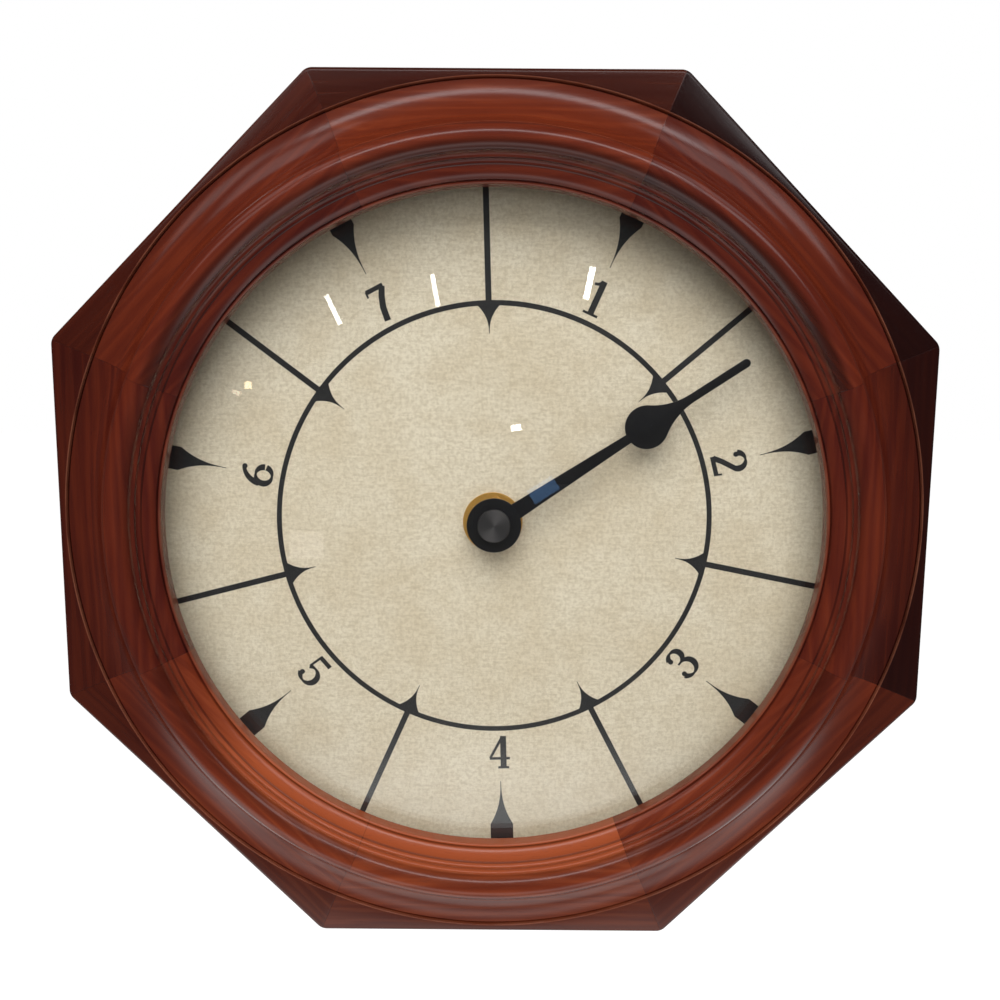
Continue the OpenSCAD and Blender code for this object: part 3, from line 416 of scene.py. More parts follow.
class Sheet:
    """One material's node tree, with one method that adds its nodes."""

    def __init__(self, name: str) -> None:
        """Starts a material with a Principled shader."""
        self.material = bpy.data.materials.new(name)
        self.material.use_nodes = True
        self.tree = self.material.node_tree
        self.shader = self.tree.nodes["Principled BSDF"]

    def node(
        self,
        kind: str,
        settings: dict[str, object] | None = None,
        inputs: dict[int | str, object] | None = None,
        output: int | str = 0,
    ) -> Wire:
        """Adds a node.

        Args:
            kind: the node's type.
            settings: its properties, and "stops" for a colour ramp.
            inputs: values or wires by socket.
            output: the socket that is returned.

        Returns:
            A wire from that output.
        """
        node = self.tree.nodes.new(kind)
        for key, value in (settings or {}).items():
            if key == "stops":
                self._set_stops(node.color_ramp, value)
            else:
                setattr(node, key, value)
        for key, value in (inputs or {}).items():
            if isinstance(value, Wire):
                self.tree.links.new(value.socket, node.inputs[key])
            else:
                node.inputs[key].default_value = value
        return Wire(self, node.outputs[output])

    @staticmethod
    def _set_stops(ramp: bpy.types.ColorRamp, stops: Sequence[tuple[float, Colour]]) -> None:
        """Writes a ramp's stops.

        Args:
            ramp: the ramp.
            stops: the place and colour of each.
        """
        while len(ramp.elements) < len(stops):
            ramp.elements.new(1)
        for element, (place, colour) in zip(ramp.elements, stops):
            element.position = place
            element.color = (*colour, 1)

    def coordinates(self, origin: Vector, degrees: float = 0) -> Wire:
        """Object coordinates about a place.

        Args:
            origin: the place.
            degrees: how far they are turned back about the hand's axis.

        Returns:
            The coordinates.
        """
        place = self.node("ShaderNodeTexCoord", output="Object")
        settings = {"vector_type": "TEXTURE"}
        turn = (0, math.radians(degrees), 0)
        return self.node("ShaderNodeMapping", settings, {0: place, 1: tuple(origin), 2: turn})

    def split(self, vector: Wire) -> tuple[Wire, Wire, Wire]:
        """A vector's three numbers."""
        parts = self.node("ShaderNodeSeparateXYZ", None, {0: vector}).socket.node
        return tuple(Wire(self, parts.outputs[i]) for i in range(3))

    def stretched(self, vector: Wire, scale: Sequence[float], shift: float = 0) -> Wire:
        """A vector times a scale, moved by a seed."""
        inputs = {0: vector, 1: tuple(scale), 2: (shift, shift * 0.7, -shift)}
        return self.node("ShaderNodeVectorMath", {"operation": "MULTIPLY_ADD"}, inputs)

    def noise(self, vector: Wire, detail: float = 3, roughness: float = 0.5) -> Wire:
        """Noise of one cell to the unit."""
        inputs = {"Vector": vector, "Scale": 1.0, "Detail": detail, "Roughness": roughness}
        return self.node("ShaderNodeTexNoise", None, inputs)

    def grain(
        self, place: Wire, scale: Scale | float, seed: float, detail: float = 3, rough: float = 0.5
    ) -> Wire:
        """Noise at a scale of its own.

        Args:
            place: the coordinates.
            scale: cells to the metre, along each axis or along all.
            seed: how far the noise is moved.
            detail: its octaves.
            rough: how strong the fine octaves are.

        Returns:
            The noise.
        """
        cells = scale if isinstance(scale, tuple) else (scale, scale, scale)
        return self.noise(self.stretched(place, cells, seed), detail, rough)

    def layered(self, base: Wire | Colour, over: Colour, *shares: Wire) -> Wire:
        """One colour laid over another several times.

        Args:
            base: the colour below.
            over: the colour that is laid over it.
            shares: how much of it each layer brings.

        Returns:
            The mixed colour.
        """
        for share in shares:
            base = self.mix(share, base, over)
        return base

    def mix(self, factor: Wire | float, a: Wire | Colour, b: Wire | Colour) -> Wire:
        """A mix of two colours.

        Args:
            factor: the second colour's share.
            a: the first colour.
            b: the second colour.

        Returns:
            The mixed colour.
        """
        pair = [c if isinstance(c, Wire) else (*c, 1) for c in (a, b)]
        settings = {"data_type": "RGBA", "clamp_factor": True}
        return self.node("ShaderNodeMix", settings, {0: factor, 6: pair[0], 7: pair[1]}, output=2)

    def shades(self, factor: Wire, stops: Sequence[tuple[float, Colour]]) -> Wire:
        """A colour ramp."""
        return self.node("ShaderNodeValToRGB", {"stops": stops}, {0: factor})

    def finish(self, **sockets: object) -> bpy.types.Material:
        """Feeds the shader's sockets, whose names are given with underscores.

        Args:
            sockets: a value or a wire for each socket, and bump for a height in millimetres.

        Returns:
            The material.
        """
        height = sockets.pop("bump", None)
        if height is not None:
            inputs = {"Strength": 1.0, "Distance": MM, "Height": height}
            sockets["Normal"] = self.node("ShaderNodeBump", None, inputs)
        for key, value in sockets.items():
            socket = self.shader.inputs[key.replace("_", " ")]
            if isinstance(value, Wire):
                self.tree.links.new(value.socket, socket)
            elif isinstance(value, tuple) and len(value) == 3 and socket.type == "RGBA":
                socket.default_value = (*value, 1)
            else:
                socket.default_value = value
        return self.material


class WorldSheet(Sheet):
    """The node tree of the world behind the clock."""

    def __init__(self, world: bpy.types.World) -> None:
        """Takes the world's own tree."""
        self.tree = world.node_tree


def hypotenuse(a: Wire, b: Wire) -> Wire:
    """The long side over two sides of a right angle."""
    return (a * a + b * b).root()


# ---- Finishes ----


@dataclass(frozen=True)
class StainAndPaintedLight:
    """How the stain took on one stave, with painted light and shade for how it faces the lamps.

    Its glow is how much amber shows: the stave's own stain, and painted light that makes the top
    and bottom staves brighter than the sides. Land is how dark the flat is. Rim is painted shade
    on the outer cove, strongest on the side staves, and bead is painted shade on the bead's inner
    side, strongest on the upper staves. Inner is painted light inside the bead, lighter on the
    lower staves and darker on the upper, and fade is how much of the glow is lost towards a
    mitre, the clockwise one when positive.
    """

    glow: float
    land: float
    rim: float
    bead: float
    inner: float
    fade: float = 0.0


@dataclass(frozen=True)
class TurnedLine:
    """A fine line round the turning: its radius, half width in millimetres and strength."""

    radius: float
    half_width: float
    strength: float

    def mask(self, radius: Wire) -> Wire:
        """The line's strength on its circle, falling to 0 at its half width."""
        off = abs(radius - self.radius * MM) / (self.half_width * MM)
        return (1 - off.ramp(0.3, 1)) * self.strength


def all_masks(lines: Sequence[TurnedLine], radius: Wire) -> Wire:
    """The strengths of several lines, added up.

    Args:
        lines: the lines.
        radius: the distance from the hand's axis in metres.

    Returns:
        Their strength.
    """
    total = lines[0].mask(radius)
    for line in lines[1:]:
        total = total + line.mask(radius)
    return total


@dataclass(frozen=True)
class StainedWood:
    """Satin lacquer over a red-brown stain, with the grain along one stave, and light and shade
    painted on the turning.
    """

    name: str
    origin: Vector
    turn: float
    seed: float
    stain: StainAndPaintedLight
    land_r: float
    inner_r: float
    fibre_scale: Scale = (26, 620, 620)
    figure_scale: Scale = (7, 60, 95)
    drift_scale: Scale = (12, 24, 24)
    pore_scale: Scale = (150, 2300, 2300)
    wear_scale: Scale = (60, 90, 90)
    fibre_share: float = 0.22
    ring_share: float = 0.10
    drift_share: float = 0.42
    fade_share: float = 0.17
    pore_share: float = 0.12
    joint_share: float = 0.30
    ring_turns: float = 1500
    fade_span: Span = (-14, 46)
    joint_span: Span = (0.00003, 0.00025)
    front_span: Span = (22, 27)
    dark: Colour = (0.0051, 0.0009, 0.0009)
    body: Colour = (0.0484, 0.0062, 0.0035)
    amber: Colour = (0.1090, 0.0170, 0.0058)
    orange: Colour = (0.2440, 0.0500, 0.0150)
    # Pale orange of the rubbed edges, which also stands in for their painted highlights
    wear_and_highlight: Colour = (0.2380, 0.0890, 0.0520)

    def material(
        self, edges: Sequence[TurnedLine], grooves: Sequence[TurnedLine]
    ) -> bpy.types.Material:
        """Builds the finish.

        Args:
            edges: the turned edges, painted pale: stain rubbed off, and a painted highlight along
                each edge.
            grooves: the grooves, painted dark: stain lying in them, and painted shade in each
                groove.

        Returns:
            The material.
        """
        s = Sheet(self.name)
        place = s.coordinates(self.origin, self.turn)
        x, y, z = s.split(place)
        radius = hypotenuse(x, z)
        ring = radius / MM
        height = y * (-1 / MM)
        front = height.ramp(*self.front_span)
        fibre = s.grain(place, self.fibre_scale, self.seed, 5, 0.62)
        pores = s.grain(place, self.pore_scale, self.seed + 5, 1).ramp(0.62, 0.72)
        tone = self._tone(s, place, fibre, ring, front)
        stops = [(0.0, self.dark), (0.35, self.body), (0.65, self.amber), (1.0, self.orange)]
        # Painted shade: rim darkens the outer cove, most on the side staves, and bead darkens the
        # bead's inner side, most on the upper staves
        rim = ring.ramp(self.land_r - 16, self.land_r - 1) * front
        bead = ring.ramp(self.inner_r - 0.2, self.inner_r + 0.4)
        bead = bead * (1 - ring.ramp(self.inner_r + 2.2, self.inner_r + 4.4)) * front
        land = ring.ramp(self.land_r - 0.3, self.land_r + 0.3) * height.ramp(0.1, 1)
        mitre = z * math.sin(HALF_STAVE) - abs(x) * math.cos(HALF_STAVE)
        joint = 1 - mitre.ramp(*self.joint_span)
        colour = s.layered(
            s.shades(tone, stops),
            self.dark,
            pores * self.pore_share,
            rim * self.stain.rim,
            bead * self.stain.bead,
            land * self.stain.land,
            # Dark groove lines are stain lying in them plus painted groove shade; the mitre joints
            # are dark
            all_masks(grooves, radius) * front + joint * self.joint_share,
        )
        # Pale edge lines: stain rubbed off, and painted highlights along the edges
        broken = s.grain(place, self.wear_scale, self.seed + 1, 2).ramp(0.25, 0.62)
        wear_and_highlight = all_masks(edges, radius) * front * (broken * 0.7 + 0.3)
        return s.finish(
            Base_Color=s.mix(wear_and_highlight, colour, self.wear_and_highlight),
            Roughness=0.14 + fibre * 0.08 + pores * 0.05,
            Specular_IOR_Level=0.5,
            bump=fibre * 0.003 - pores * 0.002 - joint * 0.02,
        )

    def _tone(self, s: Sheet, place: Wire, fibre: Wire, ring: Wire, front: Wire) -> Wire:
        """How much amber shows, from the grain, how the stave took the stain, and painted light.

        Args:
            s: the sheet.
            place: the stave's coordinates.
            fibre: the fine fibre.
            ring: the distance from the hand's axis in millimetres.
            front: 1 on the turned front and 0 on the back.

        Returns:
            The tone, from 0 for dark to 1 for orange.
        """
        x, _, z = s.split(place)
        figure = s.grain(place, self.figure_scale, self.seed + 3, 3, 0.55)
        drift = s.grain(place, self.drift_scale, self.seed + 9, 3, 0.55)
        rings = ((z * self.ring_turns + figure * 26 + self.seed).sine() * 0.5 + 0.5) ** 1.6
        # Painted light inside the bead (within, lift): lighter on the lower staves, darker on the
        # upper
        within = 1 - ring.ramp(self.inner_r - 1.5, self.inner_r + 1.5)
        side = math.copysign(1, self.stain.fade)
        lost = (x * (side / MM)).ramp(*self.fade_span) * abs(self.stain.fade)
        grain = fibre * self.fibre_share + rings * self.ring_share + drift * self.drift_share
        lift = within * front * ((1 - lost) * self.stain.inner)
        # The glow is the stave's own stain, with painted light on the top and bottom staves
        return grain + lift - lost * self.fade_share + (self.stain.glow - 0.02)


@dataclass(frozen=True)
class ClockGlass:
    """Clear drawn glass. Lamps shine through it as through air, so that the dial is lit."""

    name: str = "clock_glass"
    tint: Colour = (0.985, 0.995, 0.99)
    ior: float = 1.5
    dust: float = 0.05

    def material(self) -> bpy.types.Material:
        """Builds the finish.

        Returns:
            The material.
        """
        s = Sheet(self.name)
        place = s.coordinates(Vector((0, 0, 0)))
        dust = s.grain(place, 900, 0, 2).ramp(0.66, 0.8)
        haze = dust * self.dust
        s.finish(Base_Color=self.tint, Roughness=haze, IOR=self.ior, Transmission_Weight=1.0)
        clear = s.node("ShaderNodeBsdfTransparent", None, {0: (*self.tint, 1)})
        shadow = s.node("ShaderNodeLightPath", output="Is Shadow Ray")
        glass = Wire(s, s.shader.outputs[0])
        mixed = s.node("ShaderNodeMixShader", None, {0: shadow, 1: glass, 2: clear})
        s.tree.links.new(mixed.socket, s.tree.nodes["Material Output"].inputs[0])
        return s.material


@dataclass(frozen=True)
class Parchment:
    """Card printed with the mottle of old parchment, browner towards the rim."""

    origin: Vector
    rim: float
    name: str = "parchment_card"
    pale: Colour = (0.875, 0.783, 0.630)
    tan: Colour = (0.685, 0.557, 0.383)
    brown: Colour = (0.484, 0.379, 0.243)

    def material(self) -> bpy.types.Material:
        """Builds the finish.

        Returns:
            The material.
        """
        s = Sheet(self.name)
        place = s.coordinates(self.origin)
        x, _, z = s.split(place)
        radius = hypotenuse(x, z)
        cloud = s.grain(place, 24, 2, 6, 0.62)
        blotch = s.grain(place, 75, 7, 5, 0.6)
        weave = s.grain(place, (1500, 60, 420), 1, 2) * 0.35
        weave = weave + s.grain(place, (320, 60, 1700), 4, 2) * 0.65
        speckle = s.grain(place, 760, 6, 4, 0.7)
        fleck = s.grain(place, 300, 5, 4, 0.6).ramp(0.58, 0.74)
        edge = ((radius + (cloud - 0.5) * 0.012) / (self.rim * MM)).ramp(0.84, 1.06)
        colour = s.layered(
            s.mix((cloud * 0.6 + blotch * 0.4).ramp(0.36, 0.68) * 0.55, self.pale, self.tan),
            self.brown,
            weave.ramp(0.42, 0.62) * 0.24,
            speckle.ramp(0.42, 0.64) * 0.36,
            fleck * 0.20,
            edge * 0.15,
        )
        return s.finish(Base_Color=colour, Roughness=0.62 + blotch * 0.15, bump=weave * 0.004)


@dataclass(frozen=True)
class Coated:
    """A plain coloured finish with the mottle and fine texture of the real one."""

    name: str
    colour: Colour
    shade: Colour
    roughness: float
    metallic: float = 0.0
    grain: float = 700.0
    mottle: float = 0.5
    relief: float = 0.004

    def material(self) -> bpy.types.Material:
        """Builds the finish.

        Returns:
            The material.
        """
        s = Sheet(self.name)
        place = s.coordinates(Vector((0, 0, 0)))
        fine = s.grain(place, self.grain, 3, 3, 0.55)
        broad = s.grain(place, 45, 8)
        tone = (fine * 0.5 + broad * 0.5).ramp(0.36, 0.66)
        colour = s.mix(tone * self.mottle, self.colour, self.shade)
        return s.finish(
            Base_Color=colour,
            Metallic=self.metallic,
            Roughness=(self.roughness - 0.05) + fine * 0.12,
            bump=fine * self.relief,
        )


@dataclass(frozen=True)
class TurnedFace:
    """Metal faced on a lathe: fine rings about the hand's axis, with a soft conical highlight
    painted into its colour.
    """

    origin: Vector
    name: str = "brushed_black"
    colour: Colour = (0.105, 0.098, 0.100)
    shade: Colour = (0.018, 0.017, 0.018)
    roughness: float = 0.36
    metallic: float = 0.4
    painted_sheen: float = 0.6
    ring_turns: float = 5200

    def material(self) -> bpy.types.Material:
        """Builds the finish.

        Returns:
            The material.
        """
        s = Sheet(self.name)
        place = s.coordinates(self.origin)
        x, _, z = s.split(place)
        radius = hypotenuse(x, z)
        line = s.node("ShaderNodeCombineXYZ", None, {0: radius * self.ring_turns})
        rings = s.noise(line, 3, 0.6)
        turn = s.node("ShaderNodeMath", {"operation": "ARCTAN2"}, {0: x, 1: z})
        # Painted highlight: two soft bright lobes round the face, fixed in its colour
        painted_highlight = ((turn * 2 + 0.9).sine() * 0.5 + 0.5) ** 2.0
        colour = s.mix(rings * 0.5 + painted_highlight * self.painted_sheen, self.shade, self.colour)
        return s.finish(
            Base_Color=colour,
            Metallic=self.metallic,
            Roughness=self.roughness + rings * 0.12,
            bump=rings * 0.006,
        )


@dataclass(frozen=True)
class ScreenBoard:
    """Pressed hardboard, whose back keeps the mesh of the press's screen."""

    name: str = "hardboard"
    pale: Colour = (0.205, 0.108, 0.050)
    deep: Colour = (0.085, 0.040, 0.017)
    mesh_pitch: float = 1.6

    def material(self) -> bpy.types.Material:
        """Builds the finish.

        Returns:
            The material.
        """
        s = Sheet(self.name)
        place = s.coordinates(Vector((0, 0, 0)))
        x, _, z = s.split(place)
        turns = 2 * math.pi / (self.mesh_pitch * MM)
        mesh = (x * turns).sine() * (z * turns).sine() * 0.5 + 0.5
        fibre = s.grain(place, (700, 700, 260), 4, 5, 0.7)
        patch = s.grain(place, 28, 2, 4, 0.55)
        tone = (fibre * 0.55 + patch * 0.35 + mesh * 0.18).ramp(0.36, 0.72)
        return s.finish(
            Base_Color=s.mix(tone, self.deep, self.pale),
            Roughness=0.58 + fibre * 0.2,
            bump=mesh * 0.10 + fibre * 0.05,
        )


@dataclass(frozen=True)
class BatterySleeve:
    """A printed film sleeve with a copper-coloured band at the plus end, over nickelled ends."""

    half: float
    band_from: float = 11.0
    name: str = "battery_sleeve"
    black: Colour = (0.016, 0.016, 0.018)
    copper: Colour = (0.470, 0.190, 0.070)
    nickel: Colour = (0.660, 0.640, 0.600)

    def material(self) -> bpy.types.Material:
        """Builds the finish.

        Returns:
            The material.
        """
        s = Sheet(self.name)
        place = s.coordinates(Vector((0, 0, 0)))
        along = s.split(place)[0] / MM
        film = s.grain(place, (260, 900, 900), 2)
        band = along.ramp(self.band_from - 0.15, self.band_from + 0.15)
        ends = abs(along).ramp(self.half - 0.35, self.half - 0.2)
        colour = s.mix(band, self.black, self.copper)
        colour = s.mix(film.ramp(0.4, 0.7) * 0.25, colour, (0.0, 0.0, 0.0))
        return s.finish(
            Base_Color=s.mix(ends, colour, self.nickel),
            Metallic=band * (1 - ends) * 0.75 + ends * 0.9,
            Roughness=0.22 + film * 0.12,
            bump=film * 0.01,
        )


class Finish(Enum):
    """The plain finishes, by the record's slots."""

    BLACK_CARD = Coated("black_card", (0.030, 0.026, 0.024), (0.012, 0.011, 0.010), 0.80)
    INK = Coated("black_ink", (0.016, 0.0155, 0.0165), (0.030, 0.029, 0.030), 0.42, mottle=0.7)
    HARDBOARD = ScreenBoard()
    BRASS = Coated(
        "brass", (0.88, 0.50, 0.125), (0.62, 0.32, 0.070), 0.30, 0.75, grain=1600, mottle=0.35
    )
    BRASS_SCREW = Coated("brass_screw", (0.72, 0.50, 0.21), (0.42, 0.27, 0.10), 0.30, 1.0)
    ZINC = Coated("zinc_steel", (0.62, 0.63, 0.63), (0.40, 0.41, 0.43), 0.30, 1.0, grain=900)
    CASE = Coated(
        "black_case", (0.017, 0.017, 0.019), (0.010, 0.010, 0.011), 0.48, grain=2600, relief=0.012
    )
    RUBBER = Coated("black_rubber", (0.020, 0.020, 0.020), (0.010, 0.010, 0.010), 0.78)
    NICKEL = Coated("nickel_contact", (0.74, 0.71, 0.65), (0.52, 0.50, 0.46), 0.20, 1.0)
    LAMINATE = Coated("green_laminate", (0.020, 0.110, 0.040), (0.012, 0.070, 0.026), 0.30)
    RESIN = Coated("black_resin", (0.012, 0.012, 0.012), (0.006, 0.006, 0.006), 0.16)
    IVORY = Coated("ivory_plastic", (0.72, 0.68, 0.58), (0.60, 0.56, 0.46), 0.42, grain=1200)
    COPPER = Coated("copper_wire", (0.60, 0.24, 0.10), (0.34, 0.11, 0.04), 0.28, 1.0)
    CORE = Coated("core_steel", (0.42, 0.43, 0.45), (0.28, 0.29, 0.31), 0.34, 1.0)
    MAGNET = Coated("magnet", (0.100, 0.100, 0.108), (0.060, 0.060, 0.066), 0.40, 0.7)
    LACQUER = Coated(
        "black_lacquer", (0.0050, 0.0048, 0.0056), (0.009, 0.0085, 0.0095), 0.34, relief=0.002
    )


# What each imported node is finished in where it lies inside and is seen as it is
NODE_FINISH: dict[Finish, tuple[str, ...]] = {
    Finish.BLACK_CARD: ("spacer_strip",),
    Finish.ZINC: ("stator_screws", "clutch_spring"),
    Finish.RUBBER: ("case_gasket",),
    Finish.BRASS: ("threaded_bush", "spindle", "clutch_arbor"),
    Finish.NICKEL: ("contact_plus", "contact_minus", "quartz_can"),
    Finish.LAMINATE: ("circuit_board",),
    Finish.RESIN: ("driver_chip",),
    Finish.COPPER: ("coil_winding",),
    Finish.CORE: ("coil_core", "stator"),
    Finish.MAGNET: ("rotor_magnet",),
    Finish.IVORY: (
        "coil_bobbin", "rotor_arbor", "first_wheel", "second_wheel", "third_wheel",
        "fourth_wheel", "fifth_wheel", "day_wheel", "setting_shaft",
    ),
}


def dress(piece: bpy.types.Object, material: bpy.types.Material) -> None:
    """Gives a piece one material."""
    if piece.data.materials:
        piece.data.materials[0] = material
    else:
        piece.data.materials.append(material)


def mount(
    piece: bpy.types.Object,
    material: bpy.types.Material,
    body: str,
    slot: str | None,
    *nodes: str,
) -> None:
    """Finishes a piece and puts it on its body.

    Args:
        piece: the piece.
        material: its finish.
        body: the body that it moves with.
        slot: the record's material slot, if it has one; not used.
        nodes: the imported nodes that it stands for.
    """
    dress(piece, material)
    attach(piece, body)
    if nodes:
        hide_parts(*nodes)
    LOG.info("%s rides on %s, %d faces", piece.name, body, len(piece.data.polygons))


# ---- Wooden frame ----


@dataclass
class TurnedFrame:
    """The eight staves: a mitred octagon with a turned ring, cut as one profile."""

    bench: Bench
    apothem: float = 152.5
    corner_r: float = 5.0
    arris_r: float = 1.5
    edge_land: float = 2.5
    face_z: float = 30.0
    quirk_w: float = 1.7
    quirk_depth: float = 0.35
    vee_w: float = 0.6
    cove_w: float = 16.7
    cove_rise: float = 13.4
    fillet_w: float = 0.4
    bead_r: float = 5.0
    bead_end: float = 153.0
    reeds_w: float = 3.15
    reeds_drop: float = 3.1
    band_w: float = 4.8
    band_drop: float = 1.6
    lip_round: float = 0.8
    lip_rise: float = 5.4
    rabbet_w: float = 9.0
    shoulder_w: float = 8.0
    board_front_z: float = 21.0
    steps: int = 36
    corner_facets: int = 4
    arris_facets: int = 5
    names: tuple[str, ...] = (
        "top", "top_right", "right", "bottom_right", "bottom", "bottom_left", "left", "top_left",
    )
    # Clockwise from the top stave: stain, with painted light and shade for how each stave faces the
    # lamps
    stains_and_painted_light: tuple[StainAndPaintedLight, ...] = (
        StainAndPaintedLight(0.26, 0.70, 0.20, 0.55, -0.14),
        StainAndPaintedLight(0.13, 0.94, 0.10, 0.60, -0.04),
        StainAndPaintedLight(0.10, 0.76, 0.50, 0.00, 0.00),
        StainAndPaintedLight(0.31, 0.50, 0.05, 0.40, 0.04, fade=-0.7),
        StainAndPaintedLight(0.37, 0.46, 0.05, 0.25, 0.38),
        StainAndPaintedLight(0.36, 0.53, 0.10, 0.35, 0.38, fade=0.9),
        StainAndPaintedLight(0.10, 0.22, 0.32, 0.05, -0.03),
        StainAndPaintedLight(0.18, 0.53, 0.18, 0.40, -0.10),
    )

    @property
    def turned_r(self) -> float:
        """Outside of the turned ring."""
        return self.apothem - self.edge_land

    @property
    def cove_foot_r(self) -> float:
        """Outside of the cove."""
        return self.turned_r - self.quirk_w

    @property
    def cove_head_r(self) -> float:
        """Inside of the cove."""
        return self.cove_foot_r - self.cove_w

    @property
    def bead_c_r(self) -> float:
        """Middle of the bead that crowns the ring."""
        return self.cove_head_r - self.fillet_w - self.bead_r

    @property
    def bead_in_r(self) -> float:
        """Inside of the bead."""
        return self.bead_c_r + self.bead_r * math.cos(math.radians(self.bead_end))

    @property
    def reeds_in_r(self) -> float:
        """Inside of the two reeds."""
        return self.bead_in_r - self.reeds_w

    @property
    def band_in_r(self) -> float:
        """Inside of the band."""
        return self.reeds_in_r - self.band_w

    @property
    def opening_r(self) -> float:
        """The dial opening."""
        return self.band_in_r - self.lip_round

    @property
    def rabbet_r(self) -> float:
        """The rabbet that holds the glass."""
        return self.opening_r + self.rabbet_w

    @property
    def lip_z(self) -> float:
        """Underside of the lip over the glass."""
        return self.face_z + self.lip_rise

    def section(self) -> list[Point]:
        """The knife's profile with the back of the stave.

        Returns:
            (radius, height) points.
        """
        cove_foot_z = self.face_z - 1
        cove_r = (self.cove_w**2 + self.cove_rise**2) / (2 * self.cove_rise)
        cove_head_z = cove_foot_z + self.cove_rise
        cove_head_angle = 270 - math.degrees(math.asin(self.cove_w / cove_r))
        bead_z = cove_head_z + 0.29
        bead_in_z = bead_z + self.bead_r * math.sin(math.radians(self.bead_end))
        reeds_z = bead_in_z - self.reeds_drop
        band_z = reeds_z - self.band_drop
        step = ((self.bead_in_r - self.reeds_in_r) / 2, (bead_in_z - reeds_z) / 2)
        foot = (self.reeds_in_r + 0.2, reeds_z + 0.3)
        lip_centre = (self.opening_r + self.lip_round, band_z - self.lip_round - 0.4)
        outer = self.apothem * 1.2
        recess_r = self.rabbet_r + self.shoulder_w
        return [
            (self.opening_r, self.lip_z),
            *arc(lip_centre, self.lip_round, 180, 90, 8),
            (self.band_in_r + 0.3, band_z - 0.7),
            *bow((self.band_in_r + 0.6, band_z - 0.1), (self.reeds_in_r - 0.2, reeds_z), 0.45, 12),
            *bow(foot, (foot[0] + step[0] * 0.9, foot[1] + step[1] * 0.9), -0.35, 8),
            *bow(
                (foot[0] + step[0] * 0.95, foot[1] + step[1] * 0.95),
                (self.bead_in_r - 0.2, bead_in_z - 0.3),
                -0.35,
                8,
            ),
            *arc((self.bead_c_r, bead_z), self.bead_r, self.bead_end, 0, 30),
            (self.cove_head_r, cove_head_z),
            *arc((self.cove_foot_r, cove_foot_z + cove_r), cove_r, cove_head_angle, 270, 30),
            (self.turned_r - self.vee_w - 0.25, cove_foot_z),
            (self.turned_r - self.vee_w / 2 - 0.25, cove_foot_z - self.quirk_depth),
            (self.turned_r - 0.25, cove_foot_z + 0.1),
            (self.turned_r - 0.2, self.face_z - 0.2),
            (self.turned_r, self.face_z),
            (outer, self.face_z),
            (outer, 0),
            (recess_r, 0),
            (recess_r, self.board_front_z),
            (self.rabbet_r, self.board_front_z),
            (self.rabbet_r, self.lip_z),
        ]

    def _blank(self) -> bpy.types.Object:
        """One stave: the section spun through its angle and planed to the octagon's side.

        Returns:
            The top stave, before its back is cut.
        """
        start = math.radians(90 + STAVE_ANGLE / 2)
        points = [
            Vector((r * math.cos(start), r * math.sin(start), h)) for r, h in self.section()
        ]
        piece = drawn_loop("stave_blank", points, filled=True)
        with editing(piece):
            bpy.ops.mesh.spin(
                steps=self.steps,
                angle=math.radians(STAVE_ANGLE),
                center=(0, 0, 0),
                axis=(0, 0, 1),
            )
        corner_y = self.apothem - self.corner_r
        corner_x = corner_y * math.tan(HALF_STAVE)
        facets = self.corner_facets
        turns = [STAVE_ANGLE / 2 * i / facets for i in range(-facets, facets + 1)]
        for turn in turns:
            normal = Vector((math.sin(math.radians(turn)), math.cos(math.radians(turn)), 0))
            side = (turn > 0) - (turn < 0)
            contact = Vector((side * corner_x, corner_y, 0)) + normal * self.corner_r
            with editing(piece):
                bpy.ops.mesh.bisect(
                    plane_co=contact * MM,
                    plane_no=normal,
                    use_fill=True,
                    clear_outer=True,
                    threshold=ON_PLANE,
                )
        seal(piece)
        self._round_arris(piece)
        return piece

    def _round_arris(self, piece: bpy.types.Object) -> None:
        """Rounds the front edge of a planed stave's outer side.

        Args:
            piece: the stave.
        """
        face_z = self.face_z * MM
        mitre_x = math.cos(HALF_STAVE)
        with editing(piece):
            bpy.ops.mesh.select_all(action="DESELECT")
            mesh = bmesh.from_edit_mesh(piece.data)
            for edge in mesh.edges:
                front = all(abs(v.co.z - face_z) < ON_PLANE for v in edge.verts)
                outside = all(v.co.xy.length > (self.turned_r + 0.5) * MM for v in edge.verts)
                sides = [f.normal for f in edge.link_faces if abs(f.normal.z) < 0.1]
                mitre = any(abs(abs(n.x) - mitre_x) < 1e-3 for n in sides)
                edge.select_set(front and outside and bool(sides) and not mitre)
            bmesh.update_edit_mesh(piece.data)
            bpy.ops.mesh.bevel(
                offset=self.arris_r * MM,
                segments=self.arris_facets,
                profile=0.5,
                affect="EDGES",
                clamp_overlap=True,
            )

    def _cut_hanger(self, piece: bpy.types.Object, hanger: Hanger) -> None:
        """Cuts the top stave's back for the hanger plate and the head of the wall screw.

        Args:
            piece: the stave.
            hanger: the plate.
        """
        for name, outline, depth in (
            ("plate_bed", hanger.bed_outline(), hanger.plate_t),
            ("pocket", hanger.pocket_outline(), hanger.pocket_depth),
        ):
            combine(piece, slab(name, outline, -OVERCUT, depth), "DIFFERENCE")

    def make(self, hanger: Hanger) -> None:
        """Models, finishes and mounts the eight staves.

        Args:
            hanger: the plate that the top stave's back is cut for.
        """
        # Pale lines: stain rubbed off the edges, and painted highlights along them
        edges = [
            TurnedLine(self.turned_r - 0.1, 0.30, 0.50),
            TurnedLine(self.cove_head_r + 0.1, 0.35, 0.45),
            TurnedLine(self.opening_r + 0.2, 0.50, 0.30),
        ]
